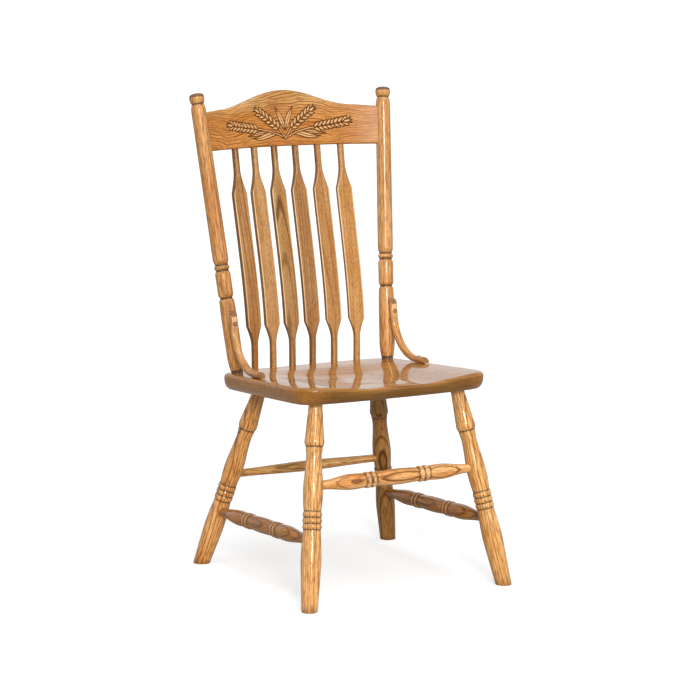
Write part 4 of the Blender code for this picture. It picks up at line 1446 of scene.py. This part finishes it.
@dataclass
class CrestRail(SubAssembly):
    """Bent board between the posts, with a bell on its top edge and a carved front."""

    posts: BackPosts
    carving: WheatCarving
    drop: float = 0.132
    end_height: float = 0.0835
    bell_rise: float = 0.0405
    eave_rise: float = 0.0047
    bell_width: float = 0.330
    sag: float = 0.055
    thickness: float = 0.022
    tenon_stop: float = 0.003
    end_gap: float = 0.0120
    edge_round: float = 0.0032
    edge_steps: int = 5
    carved_half: float = 0.168
    carved_step: float = 0.0008
    plain_step: float = 0.0035
    carved_rows: int = 132
    plain_rows: int = 8
    carved_share: float = 0.90
    back_rows: int = 8
    figure_arch: float = 0.75
    swirls: tuple[Swirl, ...] = (Swirl(-0.148, -0.030, 0.040, 0.150), Swirl(0.215, 0.014, 0.080, 0.120))
    pale_from: float = 0.070
    pale_run: float = 0.035
    pale_tone: Triple = (0.84, 0.97, 1.30)
    billet: Billet = Billet(0.090, -35.0, 2.0, 0.3, 1.1, (0.80, 0.68, 0.51))

    @property
    def bottom(self) -> float:
        """Height of the lower edge."""
        return self.posts.back_height - self.drop

    def post_place(self, height: Array) -> tuple[Array, Array]:
        """Centre line of the right post at heights.

        Args:
            height: Heights.

        Returns:
            Distances from the middle, and depths.
        """
        axis = self.posts.axis(Side.RIGHT)
        share = (height - axis.start.z) / (axis.end.z - axis.start.z)
        return (axis.start.x + (axis.end.x - axis.start.x) * share,
                axis.start.y + (axis.end.y - axis.start.y) * share)

    def top(self, x: Array) -> Array:
        """Height of the top edge: a bell in the middle, and eaves that fall to the ends.

        Args:
            x: Places across the chair.

        Returns:
            Heights.
        """
        half = self.post_place(np.array(self.bottom))[0] - self.tenon_stop
        bell = self.bell_width / 2.0
        round_off = (1.0 + np.cos(pi * np.minimum(np.abs(x), bell) / bell)) / 2.0
        bulge = (self.bell_rise - self.eave_rise) * round_off
        eave = self.eave_rise * np.minimum(1.0, (half - np.abs(x)) / (half - bell))
        return self.bottom + self.end_height + eave + bulge

    def bend(self, height: Array) -> Array:
        """Radius of the board's bend at heights, from post to post over the sag."""
        half, _ = self.post_place(height)
        return (half ** 2 + self.sag ** 2) / (2.0 * self.sag)

    def middle(self, x: Array, height: Array) -> Array:
        """Middle of the board's thickness.

        Args:
            x: Places across the chair.
            height: Heights.

        Returns:
            Points, one row each.
        """
        _, post_y = self.post_place(height)
        radius = self.bend(height)
        return np.column_stack((x, post_y + self.sag - radius + np.sqrt(radius ** 2 - x ** 2), height))

    def back(self, x: Array, height: Array) -> Array:
        """Direction square to the board, towards its back.

        Args:
            x: Places across the chair.
            height: Heights.

        Returns:
            Unit vectors, one row each.
        """
        radius = self.bend(height)
        rearward = np.sqrt(1.0 - (x / radius) ** 2)
        lean = self.posts.axis(Side.RIGHT).along
        square = np.column_stack((x / radius, rearward, -rearward * lean.y / lean.z))
        return square / np.linalg.norm(square, axis=1)[:, None]

    def columns(self) -> Array:
        """Set out the columns of the board's grid.

        Returns:
            Shares of the way from the middle to each end, closer together over the carving.
        """
        half = float(self.post_place(np.array(self.bottom))[0])
        carved = self.carved_half / half
        fine = np.linspace(-carved, carved, 2 * round(self.carved_half / self.carved_step) + 1)
        coarse = np.linspace(carved, 1.0, ceil((half - self.carved_half) / self.plain_step) + 1)[1:]
        return np.concatenate((-coarse[::-1], fine, coarse))

    def ring(self) -> tuple[Array, Array, Array, Array]:
        """Way round the board's section: up the front, over the top, down the back and under.

        Returns:
            Share of the height between the rounded edges, extra height in edge radii, the nearer face, which
            is -1 for the front and 1 for the back, and the depth below that face in edge radii.
        """
        up = np.concatenate((np.linspace(0.0, self.carved_share, self.carved_rows, endpoint=False),
                             np.linspace(self.carved_share, 1.0, self.plain_rows + 1)))
        down = np.linspace(1.0, 0.0, self.back_rows + 1)
        quarter = np.linspace(0.0, pi / 2.0, self.edge_steps + 1)[1:]
        sine, cosine = np.sin(quarter), np.cos(quarter)
        stretches = ((up, 0.0, -1.0, 0.0), (1.0, sine, -1.0, 1.0 - cosine), (1.0, cosine, 1.0, 1.0 - sine),
                     (down[1:], 0.0, 1.0, 0.0), (0.0, -sine, 1.0, 1.0 - cosine),
                     (0.0, -cosine, -1.0, 1.0 - sine))
        rows = [np.column_stack(np.broadcast_arrays(*stretch)) for stretch in stretches]
        share, rise, face, pull = np.concatenate(rows).T
        return share, rise, face, pull

    def build(self) -> None:
        """Wrap a grid round the board's section, carve its front and close its ends."""
        columns = self.columns()
        share, rise, face, pull = self.ring()
        bpy.ops.object.select_all(action="DESELECT")
        bpy.ops.mesh.primitive_grid_add(x_subdivisions=len(columns) - 1, y_subdivisions=len(share) - 1,
                                        size=1.0)
        piece = bpy.context.object
        flat = vertex_places(piece)
        column = ((flat[:, 0] + 0.5) * (len(columns) - 1)).round().astype(int)
        station = ((flat[:, 1] + 0.5) * (len(share) - 1)).round().astype(int)

        low = np.full(len(flat), self.bottom)
        half = self.post_place(low)[0] - self.end_gap
        high = self.top(columns[column] * half)
        height = low + self.edge_round + share[station] * (high - low - 2.0 * self.edge_round)
        height += rise[station] * self.edge_round
        x = columns[column] * (self.post_place(height)[0] - self.end_gap)
        relief, glaze = self.carving.carve(x, height - self.bottom)
        on_front = (face[station] < 0.0) & (rise[station] == 0.0) & (pull[station] == 0.0)
        relief[~on_front] = 0.0
        glaze[~on_front] = 0.0
        depth = face[station] * (self.thickness / 2.0 - pull[station] * self.edge_round) - relief
        places = self.middle(x, height) + self.back(x, height) * depth[:, None]
        piece.data.vertices.foreach_set("co", places.ravel())
        write_attribute(piece, "glaze", "FLOAT", glaze)
        # The board's figure rises with the bell, the more so the nearer it is to the top edge, bends at the
        # swirls and grows paler towards the top
        arch = self.figure_arch * (high - low - self.end_height) * share[station] ** 2
        above = height - self.bottom
        for swirl in self.swirls:
            fade = unit(1.0 - above / swirl.height) ** 2
            arch += swirl.lift * np.exp(-((x - swirl.place) / swirl.reach) ** 2) * fade
        local = np.column_stack((above - arch, depth, x))
        mark_wood(piece, local, self.billet)
        pale = unit((above - self.pale_from) / self.pale_run)[:, None]
        tones = (1.0 - pale) * np.array(self.billet.tone) + pale * np.array(self.pale_tone)
        piece.data.attributes["tone"].data.foreach_set("vector", tones.ravel())

        start_editing("crest_rail")
        bpy.ops.mesh.remove_doubles(threshold=MERGE_DISTANCE)
        bpy.ops.mesh.fill_holes(sides=0)
        close_up()
        self.settle(piece, self.shift)


@dataclass
class Paddles(SubAssembly):
    """Six bent paddles with round stems, between the seat and the crest rail."""

    seat: Seat
    crest: CrestRail
    count: int = 6
    base_spacing: float = 0.0520
    top_spacing: float = 0.0536
    arc_y: float = 0.2195
    arc_radius: float = 0.470
    stem_radius: float = 0.0077
    width: float = 0.037
    thickness: float = 0.0125
    turn: float = radians(10.0)
    tenon: float = 0.016
    squareness: float = 7.0
    lower_stem: float = 0.055
    lower_taper: float = 0.043
    upper_taper: float = 0.053
    upper_stem: float = 0.045
    straight: float = 0.030
    top_lean: float = 0.80
    sides: int = 48
    tenon_steps: int = 2
    stem_steps: int = 8
    taper_steps: int = 18
    blade_steps: int = 40
    # Painted shade on the sides of each section, and a painted highlight along the front arrises of the blade
    side_glaze: float = 0.60
    side_from: float = 0.93
    stem_side_from: float = 0.50
    arris_at: float = 0.90
    arris_reach: float = 0.05
    arris_wiped: float = 0.90
    billets: tuple[Billet, ...] = (
        Billet(0.110, -60.0, 1.0, 0.0, 0.90, (0.58, 0.58, 0.67)),
        Billet(0.200, 0.0, 0.5, 0.8, 0.35, (0.67, 0.71, 0.86)),
        Billet(0.0290, -88.0, 1.7, 1.353, 1.10, (0.56, 0.60, 0.67)),
        Billet(0.160, 20.0, 0.7, 2.3, 0.90, (0.53, 0.53, 0.62)),
        Billet(0.075, -120.0, 1.2, 3.1, 0.60, (0.63, 0.635, 0.70)),
        Billet(0.130, -45.0, 0.8, 3.9, 0.40, (0.72, 0.73, 0.79)))

    def ends(self, place: float) -> tuple[Vector, Vector]:
        """Where a paddle leaves the seat and meets the crest rail.

        Args:
            place: Number of spacings from the middle.

        Returns:
            Both points.
        """
        base_x, top_x = place * self.base_spacing, place * self.top_spacing
        base_y = self.arc_y - self.arc_radius + sqrt(self.arc_radius ** 2 - base_x ** 2)
        meets = self.crest.middle(np.array([top_x]), np.array([self.crest.bottom]))[0]
        return Vector((base_x, base_y, self.seat.top(base_x, base_y))), Vector(meets)

    def centre(self, base: Vector, top: Vector, height: float) -> Vector:
        """Centre of a paddle, upright at first and then bent back to the crest rail.

        Args:
            base: Where the paddle leaves the seat.
            top: Where it meets the crest rail.
            height: Height above the seat.

        Returns:
            The centre.
        """
        rise = top.z - base.z
        bent = (height - self.straight) / (rise - self.straight)
        held = min(1.0, max(0.0, bent))
        back = smooth_step(held) + self.top_lean * (held ** 2 * (held - 1.0) + max(0.0, bent - 1.0))
        return Vector((base.x + (top.x - base.x) * height / rise, base.y + (top.y - base.y) * back,
                       base.z + height))

    def breadth(self, height: float, rise: float) -> tuple[float, float, float]:
        """Section of a paddle: round stems that flare to a square-shouldered blade.

        Args:
            height: Height above the seat.
            rise: Height of the crest rail above the seat.

        Returns:
            Width, thickness and squareness.
        """
        up = (height - self.lower_stem) / self.lower_taper
        down = (rise - self.upper_stem - height) / self.upper_taper
        share = 1.0 - cos(pi / 2.0 * min(1.0, max(0.0, min(up, down))))
        wide = 2.0 * self.stem_radius + (self.width - 2.0 * self.stem_radius) * share
        thick = 2.0 * self.stem_radius + (self.thickness - 2.0 * self.stem_radius) * share
        return wide, thick, ROUND + (self.squareness - ROUND) * share

    def edge_glaze(self, across: float, out: float, squareness: float) -> float:
        """Painted light round a section: painted shade on its sides, and a painted highlight on the front
        arrises of the blade.

        Args:
            across: Place across the section, in shares of half its width.
            out: Place in its thickness, below 0 at the front.
            squareness: Squareness of the section.

        Returns:
            Painted shade, below 0 where a highlight is painted.
        """
        blade = (squareness - ROUND) / (self.squareness - ROUND)
        begin = self.stem_side_from + (self.side_from - self.stem_side_from) * blade
        # Painted shade on the sides, and a painted highlight on the front arrises
        dark = self.side_glaze * smooth_step((abs(across) - begin) / (1.0 - begin))
        painted_highlight = self.arris_wiped * blade * exp(-((abs(across) - self.arris_at) / self.arris_reach) ** 2)
        return dark - painted_highlight if out < 0.0 else dark

    def heights(self, rise: float) -> list[float]:
        """Set out the rings of a paddle.

        Args:
            rise: Height of the crest rail above the seat.

        Returns:
            Heights above the seat, tenons included.
        """
        blade_foot = self.lower_stem + self.lower_taper
        blade_top = rise - self.upper_stem - self.upper_taper
        stops = ((-self.tenon, 0.0, self.tenon_steps), (0.0, self.lower_stem, self.stem_steps),
                 (self.lower_stem, blade_foot, self.taper_steps), (blade_foot, blade_top, self.blade_steps),
                 (blade_top, rise - self.upper_stem, self.taper_steps),
                 (rise - self.upper_stem, rise, self.stem_steps))
        heights = [begin + (end - begin) * step / steps
                   for begin, end, steps in stops for step in range(steps)]
        return heights + [rise, rise + self.tenon]

    def build(self) -> None:
        """Draw out the paddles and dress them."""
        for number in range(1, self.count // 2 + 1):
            place = number - (self.count + 1) / 2.0
            base, top = self.ends(place)
            rise = top.z - base.z
            turn = -self.turn * place / ((self.count - 1) / 2.0)
            across, out = Vector((cos(turn), sin(turn), 0.0)), Vector((-sin(turn), cos(turn), 0.0))
            rings, marks = [], []
            for height in self.heights(rise):
                wide, thick, squareness = self.breadth(height, rise)
                points = section(wide, thick, squareness, self.sides)
                centre = self.centre(base, top, height)
                rings.append([centre + across * first + out * second for first, second in points])
                marks.append([(first, second, height, self.edge_glaze(2.0 * first / wide, second, squareness))
                              for first, second in points])
            piece, local = draw_glazed("paddle_%d" % number, rings, marks)
            opposite = self.count + 1 - number
            pair = {number: piece, opposite: copy_of(piece, "paddle_%d" % opposite, mirrored=True)}
            for place_number, paddle in pair.items():
                self.dress(paddle, local, self.billets[place_number - 1])


@dataclass
class HipBraces(SubAssembly):
    """Bent rods screwed to the posts and the seat."""

    seat: Seat
    posts: BackPosts
    clearance: float = 0.0003
    width: float = 0.0180
    thickness: float = 0.0145
    rise: float = 0.136
    reach: float = 0.149
    top_splay: float = 0.0015
    toe_splay: float = 0.0045
    bend_radius: float = 0.097
    slant: float = 0.015
    tip_left: float = 0.12
    squareness: float = 2.3
    sides: int = 40
    bend_steps: int = 30
    slant_steps: int = 12
    cut_glaze: float = 0.62
    lip_wiped: float = 0.60
    # The right brace's tone is paler and bluer, standing in for its highlight
    billets: Billets = (Billet(0.12, 60.0, 0.8, 0.2, 0.7, (0.78, 0.77, 0.82)),
                        Billet(0.12, 100.0, 0.8, 1.1, 0.7, (0.95, 1.04, 1.15)))

    def frames(self, side: Side) -> list[tuple[Vector, Vector, float]]:
        """Set out a brace from its top to its toe.

        Args:
            side: Side of the brace.

        Returns:
            Centre, facing of the inner bend and share of the thickness, for each.
        """
        post = self.posts.axis(side)
        up = Vector((0.0, post.along.y, post.along.z)).normalized()
        front = Vector((0.0, -up.z, up.y))
        ahead = Vector((0.0, -1.0, self.seat.slope)).normalized()
        lift = Vector((0.0, self.seat.slope, 1.0)).normalized()
        top = post.at_height(self.seat.height + self.rise)
        upper = top + front * (self.posts.radius + self.clearance + self.thickness / 2.0)
        lower = Vector((upper.x, self.posts.base_y, self.seat.height))
        lower += lift * (self.clearance + self.thickness / 2.0)
        corner = upper + up * ((lower - upper).dot(lift) / up.dot(lift))
        bend = (-up).angle(ahead)
        centre = corner + up * (self.bend_radius * tan(bend / 2.0)) + front * self.bend_radius
        toe = lower + ahead * self.reach
        ways = [step / self.slant_steps for step in range(self.slant_steps + 1)]
        shares = [self.tip_left + (1.0 - self.tip_left) * way for way in ways]
        frames = [(upper - up * (self.slant * way), front, share) for way, share in zip(ways, shares)]
        for step in range(self.bend_steps + 1):
            angle = bend * step / self.bend_steps
            facing = front * cos(angle) + up * sin(angle)
            frames.append((centre - facing * self.bend_radius, facing, 1.0))
        frames += [(toe - ahead * (self.slant * way), lift, share)
                   for way, share in zip(reversed(ways), reversed(shares))]
        for point, _, _ in frames:
            forward = (upper.y - point.y) / (upper.y - toe.y)
            point.x += side.value * (self.top_splay + (self.toe_splay - self.top_splay) * forward)
        return frames

    def sawn_section(self, share: float) -> list[Point]:
        """Section of the rod where a slanting cut runs through it.

        Args:
            share: Share of the thickness that is left.

        Returns:
            Points (across, out) in order.
        """
        level = (share - 0.5) * self.thickness
        chord = self.width / 2.0
        if share < 0.5:
            chord *= sqrt(1.0 - (1.0 - 2.0 * share) ** 2)
        points = []
        for across, out in section(self.width, self.thickness, self.squareness, self.sides):
            if out > level:
                across, out = min(chord, max(-chord, across)), level
            points.append((across, out))
        return points

    def build(self) -> None:
        """Draw out one brace, copy it for the other side and dress both."""
        frames = self.frames(Side.LEFT)
        rings, marks = [], []
        run = 0.0
        for index, (centre, facing, share) in enumerate(frames):
            run += (centre - frames[max(0, index - 1)][0]).length
            points = self.sawn_section(share)
            rings.append([centre + Vector((first, 0.0, 0.0)) + facing * second for first, second in points])
            # The slanting cuts take up more glaze, and a highlight is painted on the lips where they begin
            on_cut = self.cut_glaze if share < 1.0 else 0.0
            if share == 1.0 and index in (self.slant_steps, len(frames) - 1 - self.slant_steps):
                on_cut = -self.lip_wiped
            level = (share - 0.5) * self.thickness - self.clearance
            marks.append([(first, second, run, on_cut if second >= level else 0.0)
                          for first, second in points])
        piece, local = draw_glazed("brace_left", rings, marks)
        for billet, brace in zip(self.billets, pair_up(piece, "brace_", mirrored=True).values()):
            self.dress(brace, local, billet)


@dataclass
class ScrewPlugs(SubAssembly):
    """Domed end-grain plugs over the screws of the braces."""

    braces: HipBraces
    screw_inset: float = 0.030
    radius: float = 0.0050
    depth: float = 0.0035
    dome: float = 0.0015
    rim: float = 0.0009
    rim_glaze: float = 0.80
    steps: int = 8
    sides: int = 32
    heart: float = 0.030
    lean: float = 8.0

    def axes(self) -> dict[str, Axis]:
        """Find the screws that the plugs cover.

        Returns:
            Axis from the face of a brace inwards, by the plug's name.
        """
        slant = self.braces.slant_steps
        axes = {}
        for side in Side:
            frames = self.braces.frames(side)
            for word, tip, whole in (("upper", 0, slant), ("lower", -1, -1 - slant)):
                point, facing, _ = frames[tip]
                face = point + (frames[whole][0] - point).normalized() * self.screw_inset
                face += facing * (self.braces.thickness / 2.0)
                axes[word + "_plug_" + side.word] = Axis(face, face - facing)
        return axes

    def build(self) -> None:
        """Turn one plug, copy it over the other screws and dress all four."""
        angles = [pi / 2.0 * step / self.steps for step in range(1, self.steps + 1)]
        outline = [(-self.dome * cos(angle), self.radius * sin(angle)) for angle in angles]
        axes = self.axes()
        names = list(axes)
        first = turn_on_lathe(names[0], outline + [(self.depth, self.radius)], self.sides)
        local = vertex_places(first)
        rim = (np.hypot(local[:, 0], local[:, 1]) - self.radius) / self.rim
        write_attribute(first, "glaze", "FLOAT", self.rim_glaze * np.exp(-(rim ** 2)))
        plugs = [first, *(copy_of(first, name) for name in names[1:])]
        for number, (piece, axis) in enumerate(zip(plugs, axes.values())):
            billet = Billet(heart=self.heart, lean=self.lean, run=float(number))
            self.dress(piece, local, billet, axis.matrix)


@dataclass(frozen=True)
class Lamp:
    """A far, wide lamp that lights the chair and the whole floor evenly.

    azimuth is its bearing in degrees, 0 in front of the chair and above 0 to the right, elevation its height
    and spread its width in degrees, and level the share of a colour's full brightness that it gives a face
    square to it.
    """

    name: str
    azimuth: float
    elevation: float
    spread: float
    level: float


@dataclass
class Studio:
    """White floor and background, soft lamps and the photograph's viewpoint."""

    shift: float
    eye: Triple = (-2.88341, -5.08954, 1.44178)
    target: Triple = (0.0, 0.0022, 0.4991)
    lens: float = 139.734
    sensor: float = 36.0
    floor_size: float = 60.0
    floor_colour: str = "#CDCDCD"
    floor_lift: float = 0.62
    floor_roughness: float = 0.9
    ambient: float = 0.17
    lamps: tuple[Lamp, ...] = (
        Lamp("key_lamp", -20.0, 20.0, 15.0, 0.66), Lamp("top_lamp", -10.0, 68.0, 60.0, 0.54),
        Lamp("front_strip", -30.0, 6.5, 7.0, 0.050), Lamp("right_strip", 30.0, 8.0, 7.0, 0.040))

    def moved(self, place: Triple) -> Vector:
        """Point of the gauge frame, in the row frame."""
        return Vector((place[0], place[1] + self.shift, place[2]))

    def hang(self, name: str, data: bpy.types.ID, place: Vector, view: Vector) -> Piece:
        """Hang a camera or a lamp.

        Args:
            name: Its name.
            data: Its settings.
            place: Where it hangs.
            view: Direction in which it points.

        Returns:
            The object.
        """
        hung = bpy.data.objects.new(name, data)
        hung.matrix_world = Matrix.LocRotScale(place, view.to_track_quat("-Z", "Y"), None)
        bpy.context.scene.collection.objects.link(hung)
        return hung

    def build_camera(self) -> None:
        """Set up the camera."""
        data = bpy.data.cameras.new("photo_view")
        data.lens = self.lens
        data.sensor_width = self.sensor
        eye = self.moved(self.eye)
        bpy.context.scene.camera = self.hang("photo_view", data, eye, self.moved(self.target) - eye)

    def build_lamps(self) -> None:
        """Hang the lamps."""
        for lamp in self.lamps:
            data = bpy.data.lights.new(lamp.name, "SUN")
            data.angle = radians(lamp.spread)
            data.energy = lamp.level * pi
            turn, height = radians(lamp.azimuth), radians(lamp.elevation)
            away = Vector((sin(turn) * cos(height), -cos(turn) * cos(height), sin(height)))
            self.hang(lamp.name, data, self.moved(self.target) + away, -away)

    def build_world(self) -> None:
        """White to the camera and in reflections, a plain soft level elsewhere."""
        world = bpy.data.worlds.new("white_studio")
        bpy.context.scene.world = world
        world.use_nodes = True
        tree = world.node_tree
        ray = add_node(tree, "LightPath", {})
        seen = ray.outputs["Is Camera Ray"]
        for way in ("Is Glossy Ray", "Is Transmission Ray"):
            seen = add_node(tree, "Math", {0: seen, 1: ray.outputs[way]}, operation="MAXIMUM").outputs[0]
        strength = add_node(tree, "MapRange", {"Value": seen, "To Min": self.ambient}).outputs[0]
        background = tree.nodes["Background"]
        background.inputs["Color"].default_value = linear(WHITE)
        tree.links.new(strength, background.inputs["Strength"])

    def build_floor(self) -> None:
        """Lay a pale floor that the camera sees as white and that keeps the shadow."""
        bpy.ops.object.select_all(action="DESELECT")
        bpy.ops.mesh.primitive_plane_add(size=self.floor_size)
        floor = bpy.context.object
        floor.name = "studio_floor"
        material, tree, shader = start_material("painted_floor_matt_white")
        for name, value in (("Base Color", linear(self.floor_colour)), ("Roughness", self.floor_roughness),
                            ("Specular IOR Level", 0.0), ("Emission Color", linear(WHITE))):
            shader.inputs[name].default_value = value
        ray = add_node(tree, "LightPath", {})
        lift = add_node(tree, "Math", {
            0: ray.outputs["Is Camera Ray"], 1: self.floor_lift}, operation="MULTIPLY").outputs[0]
        tree.links.new(lift, shader.inputs["Emission Strength"])
        floor.data.materials.append(material)

    def build(self) -> None:
        """Build the whole studio."""
        self.build_camera()
        self.build_world()
        self.build_floor()
        self.build_lamps()
        bpy.context.scene.view_settings.view_transform = "Standard"


def main() -> None:
    """Build the chair and the studio."""
    logging.basicConfig(level=logging.INFO, format="%(name)s: %(message)s")
    feet = {mount["name"]: mount["pos_m"] for mount in frame["record"]["mounts"]}
    shift_y = feet["front_left_foot"][1] + Undercarriage.foot_depth / 2.0
    shift = Matrix.Translation((0.0, shift_y, 0.0))
    LOG.info("gauge frame moved by %.5f m along Y", shift_y)
    Studio(shift_y).build()

    turned_oak = OakFinish("golden_oak_turned_lacquered", coat=0.9, coat_roughness=0.14).material()
    bent_oak = OakFinish("golden_oak_planed_bent_lacquered", wander=0.014, pore_size=(0.0024, 0.007),
                         pore_bold=0.36, coat=0.5, coat_roughness=0.28).material()
    crest_oak = OakFinish("golden_oak_carved_glazed_lacquered", dark="#6B3C12", ring_width=0.0042,
                          year_bold=1.0, wander=0.050, wander_pace=(10.0, 8.0), pore_size=(0.0018, 0.030),
                          pore_bold=0.45, coat=0.4, coat_roughness=0.30).material()
    seat_oak = OakFinish("golden_oak_planed_gloss_lacquered", light="#BC8138", middle="#AA6E2A",
                         dark="#71430F", pore="#653C12", glaze="#38280F", wander=0.014,
                         pore_size=(0.0024, 0.120), pore_bold=0.30, board_width=0.085, coat=0.78,
                         coat_roughness=0.06).material()
    plug_oak = OakFinish("golden_oak_end_grain_lacquered", light="#B07C46", middle="#96622F", dark="#5E3A1A",
                         ring_width=0.0030).material()

    seat = Seat(seat_oak, "seat_oak", shift)
    undercarriage = Undercarriage(turned_oak, "leg_oak", shift, seat, Turner())
    posts = BackPosts(turned_oak, "back_oak", shift, seat, Turner(bead_rise=0.0030))
    crest = CrestRail(crest_oak, "crest_oak", shift, posts, WheatCarving())
    paddles = Paddles(bent_oak, "back_oak", shift, seat, crest)
    braces = HipBraces(turned_oak, "back_oak", shift, seat, posts)
    plugs = ScrewPlugs(plug_oak, "plug_oak", shift, braces)
    for assembly in (seat, undercarriage, posts, crest, paddles, braces, plugs):
        assembly.build()
    steel = PlatedSteel().material()
    for name, node in frame["nodes"].items():
        if "_screw_" in name:
            node.data.materials.clear()
            node.data.materials.append(steel)


if __name__ == "__main__":
    main()
